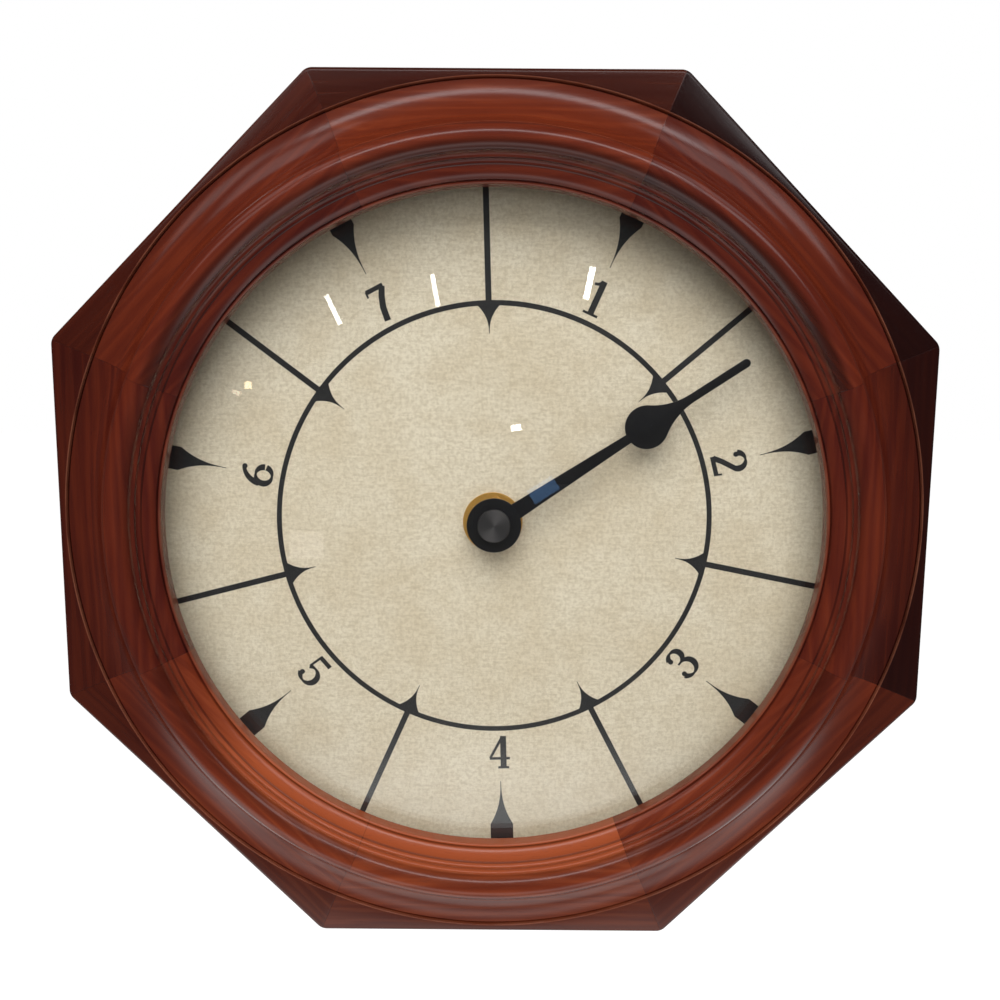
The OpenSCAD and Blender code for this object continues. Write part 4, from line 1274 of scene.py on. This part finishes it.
        # Dark lines: stain lying in the grooves, and painted shade in them
        grooves = [
            TurnedLine(self.turned_r - 0.55, 0.35, 0.50),
            TurnedLine(self.cove_head_r - 0.5, 0.35, 0.40),
            TurnedLine(self.bead_in_r, 0.35, 0.30),
            TurnedLine((self.bead_in_r + self.reeds_in_r) / 2, 0.30, 0.30),
            TurnedLine(self.reeds_in_r, 0.50, 0.50),
            TurnedLine(self.band_in_r + 0.3, 0.45, 0.50),
        ]
        blank = self._blank()
        for place, name in enumerate(self.names):
            piece = copied(blank, f"wood_{name}", STAVE_ANGLE * place)
            if place == 0:
                self._cut_hanger(piece, hanger)
            self.bench.hang(piece)
            wood = StainedWood(
                name=f"stained_wood_{name}",
                origin=self.bench.axis,
                turn=STAVE_ANGLE * place,
                seed=11.3 * place + 2.1,
                stain=self.stains_and_painted_light[place],
                land_r=self.turned_r,
                inner_r=self.bead_in_r,
            )
            finish = wood.material(edges, grooves)
            mount(piece, finish, "case", "stained_wood", f"stave_{name}")
        bpy.data.objects.remove(blank, do_unlink=True)


@dataclass
class Hanger:
    """The keyhole plate let into the top stave's back."""

    middle_y: float = 141.2475
    plate_w: float = 40.0
    plate_h: float = 18.0
    plate_t: float = 1.2
    bed_gap: float = 0.2
    rise: float = 7.6
    pocket_r: float = 5.2
    pocket_depth: float = 9.0

    @property
    def keyhole_y(self) -> float:
        """Middle of the keyhole's round end."""
        return self.middle_y - self.rise / 2

    def bed_outline(self) -> list[Point]:
        """Plan of the bed that the plate lies in."""
        half_w, half_h = self.plate_w / 2 + self.bed_gap, self.plate_h / 2 + self.bed_gap
        return box_outline((-half_w, self.middle_y - half_h), (half_w, self.middle_y + half_h))

    def pocket_outline(self) -> list[Point]:
        """Plan of the pocket behind the keyhole."""
        return slot_outline((0, self.keyhole_y), (0, self.keyhole_y + self.rise), self.pocket_r)


# ---- Glass and dial ----


@dataclass
class DomedGlass:
    """The domed glass in the frame's rabbet."""

    bench: Bench
    opening_r: float
    lip_z: float
    edge_r: float = 121.595
    thickness: float = 2.2
    rise: float = 13.0
    seat_gap: float = 0.3
    steps: int = 160
    arc_steps: int = 36

    @property
    def outer_r(self) -> float:
        """Radius of the front sphere."""
        return (self.edge_r**2 + self.rise**2) / (2 * self.rise)

    @property
    def centre_z(self) -> float:
        """Height of both spheres' centre, with the dome just under the lip."""
        return self.lip_z - self.seat_gap - math.sqrt(self.outer_r**2 - self.opening_r**2)

    def make(self) -> bpy.types.Object:
        """Models, finishes and mounts the glass.

        Returns:
            The glass.
        """
        inner_r = self.outer_r - self.thickness
        outer_end = math.degrees(math.acos(self.edge_r / self.outer_r))
        inner_end = math.degrees(math.acos(self.edge_r / inner_r))
        profile = arc((0, self.centre_z), self.outer_r, 90, outer_end, self.arc_steps)
        profile += arc((0, self.centre_z), inner_r, inner_end, 90, self.arc_steps)
        piece = turned("domed_glass", profile, self.steps)
        self.bench.hang(piece)
        mount(piece, ClockGlass().material(), "case", "clock_glass", "glass_dome")
        return piece


@dataclass(frozen=True)
class Stroke:
    """One stroke of a broad pen: upright runs come out thick and level runs thin.

    Its points are in shares of the numeral's height, about the numeral's middle.
    """

    path: tuple[Point, ...]
    thick: float = 0.088
    thin: float = 0.030

    def outline(self, height: float) -> list[Point]:
        """The inked outline of the stroke.

        Args:
            height: the numeral's height in millimetres.

        Returns:
            The outline, about the numeral's middle.
        """
        sides: tuple[list[Point], list[Point]] = ([], [])
        last = len(self.path) - 1
        for i, (x, y) in enumerate(self.path):
            before, after = self.path[max(i - 1, 0)], self.path[min(i + 1, last)]
            along = (Vector(after) - Vector(before)).normalized()
            half = self.thin + (self.thick - self.thin) * abs(along.y)
            for side, points in zip((1, -1), sides):
                points.append(
                    ((x - side * along.y * half) * height, (y + side * along.x * half) * height)
                )
        return sides[0] + sides[1][::-1]


@dataclass(frozen=True)
class Numeral:
    """A numeral as the strokes that draw it, and the round ends of its open strokes."""

    strokes: tuple[Stroke, ...]
    ends: tuple[Point, ...] = ()
    end_r: float = 0.075

    def outlines(self, height: float) -> list[list[Point]]:
        """The outline of each stroke and round end."""
        drawn = [stroke.outline(height) for stroke in self.strokes]
        for x, y in self.ends:
            drawn.append(arc((x * height, y * height), self.end_r * height, 0, 345, 23))
        return drawn


def level(x0: float, x1: float, y: float, half: float) -> Stroke:
    """A level bar of a numeral."""
    return Stroke(((x0, y), (x1, y)), half, half)


NUMERALS: dict[int, Numeral] = {
    1: Numeral(
        (
            Stroke(((0.03, 0.5), (0.03, -0.5))),
            Stroke(((-0.20, 0.34), (-0.09, 0.37), (0.03, 0.47)), 0.05, 0.035),
            level(-0.19, 0.25, -0.465, 0.035),
        )
    ),
    2: Numeral(
        (
            Stroke((*arc((0.0, 0.245), 0.225, 172, -38, 20), (-0.08, -0.19), (-0.24, -0.42))),
            level(-0.28, 0.28, -0.435, 0.065),
            Stroke(((0.255, -0.42), (0.275, -0.27)), 0.028, 0.028),
        ),
        ((-0.19, 0.235),),
    ),
    3: Numeral(
        (
            Stroke(tuple(arc((-0.01, 0.255), 0.205, 160, -95, 24))),
            Stroke(tuple(arc((-0.01, -0.205), 0.255, 95, -160, 26))),
            level(-0.12, 0.02, 0.05, 0.03),
        ),
        ((-0.185, 0.285), (-0.215, -0.255)),
    ),
    4: Numeral(
        (
            Stroke(((0.08, 0.49), (-0.29, -0.17)), 0.040, 0.030),
            level(-0.31, 0.29, -0.185, 0.038),
            Stroke(((0.10, 0.5), (0.10, -0.5))),
            level(-0.06, 0.26, -0.465, 0.035),
        )
    ),
    5: Numeral(
        (
            level(-0.20, 0.23, 0.435, 0.065),
            Stroke(((-0.17, 0.46), (-0.20, 0.04)), 0.034, 0.03),
            Stroke(tuple(arc((-0.02, -0.17), 0.255, 135, -155, 28))),
        ),
        ((-0.215, -0.255),),
    ),
    6: Numeral(
        (
            Stroke(tuple(arc((0.0, -0.195), 0.235, 0, 350, 36))),
            Stroke(tuple(arc((0.31, -0.13), 0.555, 176, 103, 18))),
        ),
        ((0.165, 0.375),),
    ),
    7: Numeral(
        (
            level(-0.25, 0.27, 0.435, 0.065),
            Stroke(((-0.245, 0.46), (-0.255, 0.28)), 0.028, 0.028),
            Stroke(((0.235, 0.42), (0.10, 0.16), (0.0, -0.12), (-0.05, -0.5)), 0.09, 0.05),
        )
    ),
}


@dataclass
class DialPrint:
    """What is printed on the dial: a ring, seven dividers, spikes and plain numerals."""

    bench: Bench
    dial_z: float = 21.5
    lift: float = 0.005
    film: float = 0.04
    lean: float = -1.8
    ring_r: float = 77.1
    ring_w: float = 1.8
    line_w: float = 2.1
    bleed_r: float = 120.6
    inner_spike: float = 10.5
    inner_half: float = 3.9
    outer_tip_r: float = 97.5
    outer_head_r: float = 114.2
    outer_half: float = 4.2
    hollow: float = 2.5
    tip_half: float = 0.12
    spike_steps: int = 14
    numeral_r: float = 86.3
    numeral_h: float = 12.5

    def _spike(
        self, name: str, tip: float, base: float, end: float, half: float
    ) -> bpy.types.Object:
        """A spike whose hollow sides run out to a fine tip.

        Args:
            name: the piece's name.
            tip: radius of its tip.
            base: radius where its sides are widest.
            end: radius where it ends, at the same width.
            half: half its width there.

        Returns:
            The spike on the 12 o'clock line.
        """
        steps, fine = self.spike_steps, self.tip_half
        side = [
            (fine + (half - fine) * (i / steps) ** self.hollow, tip + (base - tip) * i / steps)
            for i in range(steps + 1)
        ]
        if end > base:
            side.append((half, end))
        outline = side + [(-x, y) for x, y in reversed(side)]
        low = self.dial_z + self.lift
        return slab(name, outline, low, low + self.film)

    def _numeral(self, number: int, degrees: float) -> bpy.types.Object:
        """A numeral, its head outwards in the upper sectors and inwards in the lower.

        Args:
            number: which one.
            degrees: where it stands, clockwise from 12 o'clock.

        Returns:
            The numeral in its place.
        """
        low = self.dial_z + self.lift
        strokes = [
            slab(f"stroke_{i}", outline, low, low + self.film)
            for i, outline in enumerate(NUMERALS[number].outlines(self.numeral_h))
        ]
        piece = strokes[0]
        piece.name = f"numeral_{number}"
        for stroke in strokes[1:]:
            combine(piece, stroke, "UNION")
        inwards = 100 < degrees % 360 < 260
        place = turned_point((0, self.numeral_r), degrees)
        spin = clockwise(degrees - (180 if inwards else 0))
        piece.data.transform(moved(*place, 0) @ spin)
        return piece

    def make(self) -> None:
        """Models, finishes and mounts the print."""
        ink = Finish.INK.value.material()
        half = self.line_w / 2
        low = self.dial_z + self.lift
        high = low + self.film
        inner, outer = self.ring_r - self.ring_w / 2, self.ring_r + self.ring_w / 2
        ring = turned("print_ring", [(inner, low), (outer, low), (outer, high), (inner, high)], 192)
        pieces = [ring]
        line = slab("line", box_outline((-half, outer), (half, self.bleed_r)), low, high)
        spike = self._spike("inner", self.ring_r - self.inner_spike, inner, inner, self.inner_half)
        head = self._spike(
            "outer", self.outer_tip_r, self.outer_head_r, self.bleed_r, self.outer_half
        )
        for k in range(SECTORS):
            at = 360 / SECTORS * k + self.lean
            middle = at + 180 / SECTORS
            pieces.append(copied(line, f"print_divider_{k + 1}", at))
            pieces.append(copied(spike, f"print_inner_spike_{k + 1}", at))
            pieces.append(copied(head, f"print_outer_spike_{k + 1}", middle))
            pieces.append(self._numeral(k + 1, middle))
        for master in (line, spike, head):
            bpy.data.objects.remove(master, do_unlink=True)
        for piece in pieces:
            self.bench.hang(piece)
            mount(piece, ink, "case", None)


# ---- Hand and what clamps the movement ----


@dataclass
class DayHand:
    """The spade hand with its hub disc and collet, the press-on cap, and the nut and washer."""

    bench: Bench
    hand_z: float = 30.1
    blade_t: float = 0.8
    hub_r: float = 9.5
    hub_t: float = 1.2
    length: float = 103.895
    hub_w: float = 5.8
    spade_w: float = 3.2
    spade_r: float = 7.5
    spade_back: float = 41.3
    flank_reach: float = 18.5
    bar_w: float = 2.9
    angle: float = 56.6
    tip_bore: float = 1.52
    collet_r: float = 3.4
    collet_h: float = 2.2
    cap_r: float = 5.7
    cap_h: float = 2.2
    dial_z: float = 21.5
    washer_r: float = 10.65
    washer_t: float = 0.8
    washer_shift: float = 0.5
    bush_r: float = 3.95
    nut_af: float = 16.5
    nut_t: float = 2.6
    nut_turn: float = 25.0
    stamped_ease: float = 0.12
    hub_ease: float = 0.18
    cap_ease: float = 0.1
    cap_bevel: float = 0.4
    washer_ease: float = 0.2
    nut_clearance: float = 0.05
    nut_land: float = 0.1

    def blade_outline(self) -> list[Point]:
        """Plan of the blade, pointing up the bench: bar, spade with hollow flanks, bar and tip.

        Returns:
            Its outline.
        """
        spade_y = self.length - self.spade_back
        half_bar = self.bar_w / 2
        flank_r = (self.flank_reach**2 + half_bar**2 - self.spade_r**2) / (
            2 * (self.spade_r - half_bar)
        )
        centre = (half_bar + flank_r, self.flank_reach)
        meet = math.degrees(math.atan2(centre[1], centre[0]))
        enter = -math.degrees(math.acos(self.spade_w / 2 / self.spade_r))
        half = [
            (self.hub_w / 2, self.hub_r - 1),
            *arc((0, spade_y), self.spade_r, enter, meet, 28),
            *arc((centre[0], spade_y + centre[1]), flank_r, 180 + meet, 180, 16)[1:],
            *arc((0, self.length - half_bar), half_bar, 0, 90, 8),
        ]
        return mirrored(half)

    def make(self) -> None:
        """Models, finishes and mounts the hand, its cap and the brass fixings."""
        self._hand()
        self._cap()
        self._washer()
        self._nut()

    def _hand(self) -> None:
        """The lacquered hand."""
        low = self.hand_z + (self.hub_t - self.blade_t) / 2
        piece = slab("spade_hand", self.blade_outline(), low, low + self.blade_t)
        soften(piece, self.stamped_ease, 50)
        top = self.hand_z + self.hub_t
        edge = self.hub_ease
        hub = turned(
            "hub",
            [
                (self.tip_bore, self.hand_z - self.collet_h),
                (self.collet_r - edge, self.hand_z - self.collet_h),
                (self.collet_r, self.hand_z - self.collet_h + edge),
                (self.collet_r, self.hand_z),
                (self.hub_r - edge, self.hand_z),
                (self.hub_r, self.hand_z + edge),
                *arc((self.hub_r - edge, top - edge), edge, 0, 90, 4),
                (self.tip_bore, top),
            ],
        )
        combine(piece, hub, "UNION")
        piece.data.transform(clockwise(self.angle))
        self.bench.hang(piece)
        mount(piece, Finish.LACQUER.value.material(), "hand", "black_lacquer", "day_hand")

    def _cap(self) -> None:
        """The cap that is pressed over the spindle's end."""
        low = self.hand_z + self.hub_t
        high = low + self.cap_h
        bevel, ease = self.cap_bevel, self.cap_ease
        bore_top = low + self.cap_h * 0.6 + 0.2
        piece = turned(
            "hub_cap",
            [
                (self.tip_bore, low),
                (self.cap_r - ease, low),
                (self.cap_r, low + ease),
                (self.cap_r, high - bevel),
                *arc((self.cap_r - bevel, high - bevel), bevel, 12, 90, 5),
                (0, high),
                (0, bore_top),
                (self.tip_bore, bore_top),
            ],
        )
        self.bench.hang(piece)
        mount(piece, TurnedFace(self.bench.axis).material(), "hand", "brushed_black", "hand_cap")

    def _washer(self) -> None:
        """The brass washer, a little off the bush's middle."""
        low, high, edge = self.dial_z, self.dial_z + self.washer_t, self.washer_ease
        inner = self.bush_r + self.washer_shift + 0.1
        piece = turned(
            "washer",
            [
                (inner, low),
                (self.washer_r, low),
                (self.washer_r, high - edge),
                *arc((self.washer_r - edge, high - edge), edge, 0, 90, 4)[1:],
                (inner, high),
            ],
        )
        piece.data.transform(moved(-self.washer_shift, 0, 0))
        self.bench.hang(piece)
        mount(piece, Finish.BRASS.value.material(), "case", "brass", "brass_washer")

    def _nut(self) -> None:
        """The hex nut, its corners turned off in front."""
        low = self.dial_z + self.washer_t
        corner = self.nut_af / 2 / math.cos(math.radians(30))
        bore = self.bush_r + self.nut_clearance
        outline = [turned_point((corner, 0), -(self.nut_turn + 60 * k)) for k in range(6)]
        piece = slab("nut", outline, low, low + self.nut_t)
        dome = turned(
            "corner_cut",
            [
                (bore, low - OVERCUT),
                (corner + 2 * OVERCUT, low - OVERCUT),
                (corner + 2 * OVERCUT, low),
                (self.nut_af / 2 + self.nut_land, low + self.nut_t),
                (bore, low + self.nut_t),
            ],
            96,
        )
        combine(piece, dome, "INTERSECT")
        soften(piece, self.stamped_ease, 25)
        self.bench.hang(piece, 20)
        mount(piece, Finish.BRASS.value.material(), "case", "brass", "hex_nut")


# ---- What shows from behind ----


@dataclass(frozen=True)
class Eased:
    """A piece seen from behind whose moulded or stamped edges are eased."""

    name: str
    node: str
    body: str
    slot: str
    finish: Finish
    width: float
    above: float = 30

    def make(self, nodes: dict[str, bpy.types.Object]) -> None:
        """Copies the node, joins its loose triangles into faces, eases its edges and mounts it.

        Args:
            nodes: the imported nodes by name.
        """
        bpy.ops.object.select_all(action="DESELECT")
        piece = bpy.data.objects.new(self.name, nodes[self.node].data.copy())
        bpy.context.scene.collection.objects.link(piece)
        with editing(piece):
            bpy.ops.mesh.remove_doubles(threshold=NODE_MERGE)
            bpy.ops.mesh.dissolve_limited(angle_limit=math.radians(FLAT_WITHIN))
        soften(piece, self.width, self.above)
        pick_only(piece)
        bpy.ops.object.shade_smooth_by_angle(angle=math.radians(self.above))
        mount(piece, self.finish.value.material(), self.body, self.slot, self.node)


EASED = (
    Eased("backing_board", "dial_board", "case", "hardboard", Finish.HARDBOARD, 0.45),
    Eased("board_fixings", "board_screws", "case", "brass_screw", Finish.BRASS_SCREW, 0.08),
    Eased("keyhole_plate", "hanger_plate", "case", "zinc_steel", Finish.ZINC, 0.16),
    Eased("keyhole_fixings", "hanger_screws", "case", "zinc_steel", Finish.ZINC, 0.08),
    Eased("movement_case", "front_case", "case", "black_case", Finish.CASE, 0.25),
    Eased("movement_cover", "back_cover", "case", "black_case", Finish.CASE, 0.18),
    Eased("cover_fixings", "cover_screws", "case", "zinc_steel", Finish.ZINC, 0.06),
    Eased("day_setter", "setting_knob", "setting", "ivory_plastic", Finish.IVORY, 0.14),
)


@dataclass(frozen=True)
class Battery:
    """The cell in its bay, lying along X with its plus end to the right."""

    bench: Bench
    axis_y: float = -19.028
    axis_z: float = 8.0
    radius: float = 7.25
    low_x: float = -24.6
    high_x: float = 24.9
    fold: float = 0.5
    dish: float = 0.3
    nub_r: float = 2.75
    nub_h: float = 1.0
    nub_round: float = 0.3
    minus_rim: Span = (1.6, 1.3)
    plus_rim: Span = (1.9, 2.1)

    def make(self) -> None:
        """Models, finishes and mounts the cell."""
        r, fold, low, high = self.radius, self.fold, self.low_x, self.high_x
        nub_top, round_r = high + self.nub_h, self.nub_round
        profile = [
            (0, low + self.dish),
            (r - self.minus_rim[0], low + self.dish),
            (r - self.minus_rim[1], low),
            *arc((r - fold, low + fold), fold, -90, 0, 6),
            *arc((r - fold, high - fold), fold, 0, 90, 6),
            (r - self.plus_rim[0], high),
            (r - self.plus_rim[1], high - self.dish),
            (self.nub_r + round_r, high - self.dish),
            (self.nub_r, high),
            (self.nub_r, nub_top - round_r),
            *arc((self.nub_r - round_r, nub_top - round_r), round_r, 0, 90, 4)[1:],
            (0, nub_top),
        ]
        piece = turned("battery_cell", profile, 96)
        lay = Matrix.Rotation(math.pi / 2, 4, "Y")
        piece.data.transform(moved(0, self.axis_y, self.axis_z) @ lay)
        self.bench.hang(piece)
        mount(piece, BatterySleeve(half=high).material(), "battery", "battery_sleeve", "battery")


# ---- Studio ----


@dataclass(frozen=True)
class Glint:
    """A lamp placed so that the domed glass mirrors it at a place in the photograph."""

    name: str
    start: Point
    end: Point
    width: float
    glow: float
    colour: Colour = (1.0, 0.98, 0.95)


class Lights(Enum):
    """What a lamp acts on: matte surfaces, or the mirror image in the glass or in all else."""

    MATTE = ("visible_glossy", "visible_transmission")
    WOOD = ("visible_diffuse", "visible_transmission")
    GLASS = ("visible_diffuse",)

    def limit(self, lamp: bpy.types.Object, glass: bpy.types.Object) -> None:
        """Hides the lamp from the rays and the pieces that it has no part in.

        Args:
            lamp: the lamp.
            glass: the domed glass.
        """
        for rays in self.value:
            setattr(lamp, rays, False)
        if self is Lights.MATTE:
            return
        mirrors = bpy.data.collections.new(f"{lamp.name}_mirrors")
        mirrors.objects.link(glass)
        if self is Lights.WOOD:
            mirrors.collection_objects[0].light_linking.link_state = "EXCLUDE"
        lamp.light_linking.receiver_collection = mirrors


def heading(right: float, up: float) -> Vector:
    """The direction that is turned right from +Y and raised, by degrees.

    Args:
        right: the turn.
        up: the rise.

    Returns:
        A direction of length 1.
    """
    turn, rise = math.radians(right), math.radians(up)
    level_part = math.cos(rise)
    return Vector((math.sin(turn) * level_part, math.cos(turn) * level_part, math.sin(rise)))


@dataclass(frozen=True)
class Softbox:
    """A soft lamp that faces the clock.

    Its bearing is degrees to the right and up as seen from the clock, and its distance and size
    are in metres.
    """

    name: str
    bearing: Point
    distance: float
    size: Point
    glow: float
    colour: Colour
    lights: Lights

    def offset(self) -> Vector:
        """Where it stands, from the clock's middle."""
        way = heading(*self.bearing)
        return Vector((way.x, -way.y, way.z)) * self.distance


@dataclass
class Studio:
    """Floor, world, lamps and the camera at the photograph's viewing angle."""

    bench: Bench
    glass: bpy.types.Object
    camera_at: Vector = field(default_factory=lambda: Vector((2.32, -323.95, -94.27)) * MM)
    yaw: float = -0.054
    pitch: float = -6.672
    roll: float = 0.415
    focal_px: float = 847.8
    image_px: float = 1000.0
    sensor: float = 36.0
    lamp_distance: float = 1.1
    floor_z: float = -1.4
    floor_size: float = 60.0
    floor_glow: float = 1.0
    # The floor glows: a painted pool of light that the glossy pieces see, and a glow that lights
    # the clock from below
    pool_near: Span = (0.5, 1.1)
    pool_far: Span = (1.1, 1.85)
    pool_glow: float = 0.95
    floor_matte_glow: float = 0.70
    room_gloss: float = 0.04
    room_matte: float = 0.14
    glints: tuple[Glint, ...] = (
        Glint("strip_left", (326, 295), (340, 324), 4.5, 15),
        Glint("strip_middle", (432, 274), (438, 306), 4.5, 15),
        Glint("strip_right", (593, 267), (586, 299), 6, 26),
        Glint("spot_centre", (511, 428.6), (521, 426.8), 6, 20),
        Glint("spot_warm", (244, 385), (251, 385), 7, 8, (1.0, 0.86, 0.55)),
        Glint("spot_warm_low", (232, 391), (240, 394), 4, 5, (1.0, 0.80, 0.62)),
        Glint("pane_pale", (289, 544), (323, 546), 28, 1.0, (1.0, 0.96, 0.95)),
        Glint("pane_blue", (531, 498), (556, 482), 16, 1.4, (0.22, 0.50, 1.0)),
    )
    boxes: tuple[Softbox, ...] = (
        Softbox("key", (-6, 46), 1.45, (1.6, 1.0), 5.6, SOFT_WHITE, Lights.MATTE),
        Softbox("fill", (4, 14), 1.7, (1.6, 1.2), 2.1, SOFT_WHITE, Lights.MATTE),
        Softbox("rear_key", (160, 38), 1.6, (1.6, 1.2), 4.9, SOFT_WHITE, Lights.MATTE),
        Softbox("rear_sheen", (200, 30), 1.5, (1.4, 1.0), 1.2, SOFT_WHITE, Lights.WOOD),
        Softbox("window_top", (3, 44), 1.5, (1.3, 0.24), 4.0, DAYLIGHT, Lights.WOOD),
        Softbox("window_right", (34, 28), 1.5, (0.5, 0.35), 2.0, DAYLIGHT, Lights.WOOD),
        Softbox("window_left", (-34, 27), 1.5, (0.4, 0.3), 1.2, (1.0, 0.97, 0.94), Lights.WOOD),
        Softbox("side_right", (57, 50), 1.5, (0.6, 0.5), 0.9, SIDE_WHITE, Lights.WOOD),
        Softbox("side_left", (-57, 50), 1.5, (0.6, 0.5), 0.9, SIDE_WHITE, Lights.WOOD),
        Softbox("under", (0, -87), 0.9, (0.9, 0.4), 0.75, (1.0, 0.97, 0.96), Lights.WOOD),
    )

    def _axes(self) -> tuple[Vector, Vector, Vector]:
        """The way the camera is turned.

        Returns:
            Its right, up and forward directions.
        """
        yaw, roll = math.radians(self.yaw), math.radians(self.roll)
        forward = heading(self.yaw, self.pitch)
        right = Vector((math.cos(yaw), -math.sin(yaw), 0))
        up = right.cross(forward)
        c, s = math.cos(roll), math.sin(roll)
        return c * right + s * up, -s * right + c * up, forward

    def _ray(self, pixel: Point) -> Vector:
        """The direction from the camera through a pixel."""
        right, up, forward = self._axes()
        across = (pixel[0] - self.image_px / 2) / self.focal_px
        rise = (self.image_px / 2 - pixel[1]) / self.focal_px
        return (forward + right * across + up * rise).normalized()

    def _mirrored(self, pixel: Point, centre: Vector, radius: float) -> tuple[Vector, Vector]:
        """Where a pixel's ray meets the dome.

        Args:
            pixel: the pixel.
            centre: centre of the dome's front sphere.
            radius: its radius.

        Returns:
            The place, and the direction in which the ray is mirrored.
        """
        ray = self._ray(pixel)
        offset = self.camera_at - centre
        b = ray.dot(offset)
        reach = -b - math.sqrt(b * b - offset.length_squared + radius * radius)
        hit = self.camera_at + ray * reach
        normal = (hit - centre).normalized()
        return hit, ray - 2 * ray.dot(normal) * normal

    def camera(self) -> None:
        """The camera, with no shift and no depth of field."""
        data = bpy.data.cameras.new("camera")
        data.sensor_width = self.sensor
        data.lens = self.focal_px / self.image_px * self.sensor
        data.clip_start = 0.01
        eye = bpy.data.objects.new("camera", data)
        right, up, forward = self._axes()
        turn = Matrix((right, up, -forward)).transposed().to_4x4()
        eye.matrix_world = Matrix.Translation(self.camera_at) @ turn
        bpy.context.scene.collection.objects.link(eye)
        bpy.context.scene.camera = eye

    def _lamp(
        self, name: str, place: Matrix, size: Point, glow: float, colour: Colour, lights: Lights
    ) -> None:
        """A flat lamp that shines along its own -Z.

        Args:
            name: its name.
            place: where it stands and how it is turned.
            size: its width and height in metres.
            glow: its brightness, which a white card has under a light of pi.
            colour: its colour.
            lights: what it acts on.
        """
        data = bpy.data.lights.new(name, "AREA")
        data.shape = "RECTANGLE"
        data.size, data.size_y = size
        data.energy = glow * math.pi * size[0] * size[1]
        data.color = colour
        lamp = bpy.data.objects.new(name, data)
        lamp.matrix_world = place
        lamp.visible_camera = False
        lights.limit(lamp, self.glass)
        bpy.context.scene.collection.objects.link(lamp)

    def glass_lamps(self, centre: Vector, radius: float) -> None:
        """The small lamps that the dome mirrors.

        Args:
            centre: centre of the dome's front sphere.
            radius: its radius.
        """
        for glint in self.glints:
            middle_px = tuple((a + b) / 2 for a, b in zip(glint.start, glint.end))
            start, end, middle = (
                hit + way * self.lamp_distance
                for hit, way in (
                    self._mirrored(pixel, centre, radius)
                    for pixel in (glint.start, glint.end, middle_px)
                )
            )
            away = self._mirrored(middle_px, centre, radius)[1]
            along = end - start
            length = along.length
            x_axis = (along - away * along.dot(away)).normalized()
            turn = Matrix((x_axis, away.cross(x_axis), away)).transposed().to_4x4()
            width = length * glint.width / math.dist(glint.start, glint.end)
            place = Matrix.Translation(middle) @ turn
            size = (length, width)
            self._lamp(glint.name, place, size, glint.glow, glint.colour, Lights.GLASS)

    def softboxes(self) -> None:
        """The soft lamps round the clock."""
        target = self.bench.point(0, 0, 30)
        for box in self.boxes:
            offset = box.offset()
            turn = offset.to_track_quat("Z", "Y").to_matrix().to_4x4()
            place = Matrix.Translation(target + offset) @ turn
            self._lamp(box.name, place, box.size, box.glow, box.colour, box.lights)

    def room(self) -> None:
        """The pale floor and the room."""
        scene = bpy.context.scene
        scene.view_settings.view_transform = "Standard"
        bpy.ops.object.select_all(action="DESELECT")
        bpy.ops.mesh.primitive_plane_add(size=self.floor_size, location=(0, 0, self.floor_z))
        floor = bpy.context.object
        floor.name = "floor"
        dress(floor, self._floor_paint())
        self._world(scene)

    def _floor_paint(self) -> bpy.types.Material:
        """Pale paint that glows. The camera sees it white, the glossy pieces see a painted pool of
        light in a ring before the clock, and all other rays see a glow that lights the clock from
        below.

        Returns:
            The material.
        """
        s = Sheet("pale_floor")
        place = s.coordinates(Vector((0, 0, 0)))
        x, y, _ = s.split(place)
        drift = s.grain(place, 2, 0, 2)
        reach = hypotenuse(x, y)
        pool = reach.ramp(*self.pool_near) * (1 - reach.ramp(*self.pool_far))
        seen = s.node("ShaderNodeLightPath", output="Is Camera Ray")
        mirrored_ray = s.node("ShaderNodeLightPath", output="Is Glossy Ray")
        dim = mirrored_ray * pool * self.pool_glow + (1 - mirrored_ray) * self.floor_matte_glow
        glow = seen * self.floor_glow + (1 - seen) * dim
        return s.finish(
            Base_Color=s.mix(drift, (0.24, 0.24, 0.24), (0.27, 0.27, 0.27)),
            Roughness=0.9,
            Emission_Color=s.mix(glow, (0.0, 0.0, 0.0), (1.0, 1.0, 1.0)),
            Emission_Strength=1.0,
        )

    def _world(self, scene: bpy.types.Scene) -> None:
        """A room that is white behind the clock, and dim all round to the glossy pieces.

        Args:
            scene: the scene that it is the world of.
        """
        world = bpy.data.worlds.new("studio")
        world.use_nodes = True
        scene.world = world
        s = WorldSheet(world)
        seen = s.node("ShaderNodeLightPath", output="Is Camera Ray")
        mirrored_ray = s.node("ShaderNodeLightPath", output="Is Glossy Ray")
        dim = mirrored_ray * self.room_gloss + (1 - mirrored_ray) * self.room_matte
        glow = seen + (1 - seen) * dim
        s.tree.nodes["Background"].inputs[0].default_value = (1, 1, 1, 1)
        s.tree.links.new(glow.socket, s.tree.nodes["Background"].inputs[1])


def dress_nodes(nodes: dict[str, bpy.types.Object]) -> None:
    """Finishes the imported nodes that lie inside."""
    for finish, names in NODE_FINISH.items():
        material = finish.value.material()
        for name in names:
            dress(nodes[name], material)


def main() -> None:
    """Builds the clock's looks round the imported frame."""
    logging.basicConfig(level=logging.INFO, format="%(name)s: %(message)s")
    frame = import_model()
    bench = Bench.from_frame()
    dress_nodes(frame["nodes"])
    wood = TurnedFrame(bench)
    wood.make(Hanger())
    glass = DomedGlass(bench, wood.opening_r, wood.lip_z)
    studio = Studio(bench, glass.make())
    studio.camera()
    parchment = Parchment(bench.axis, wood.opening_r)
    dress(frame["nodes"]["dial_card"], parchment.material())
    DialPrint(bench).make()
    DayHand(bench).make()
    for eased in EASED:
        eased.make(frame["nodes"])
    Battery(bench).make()
    studio.glass_lamps(bench.point(0, 0, glass.centre_z), glass.outer_r * MM)
    studio.softboxes()
    studio.room()


if __name__ == "__main__":
    main()
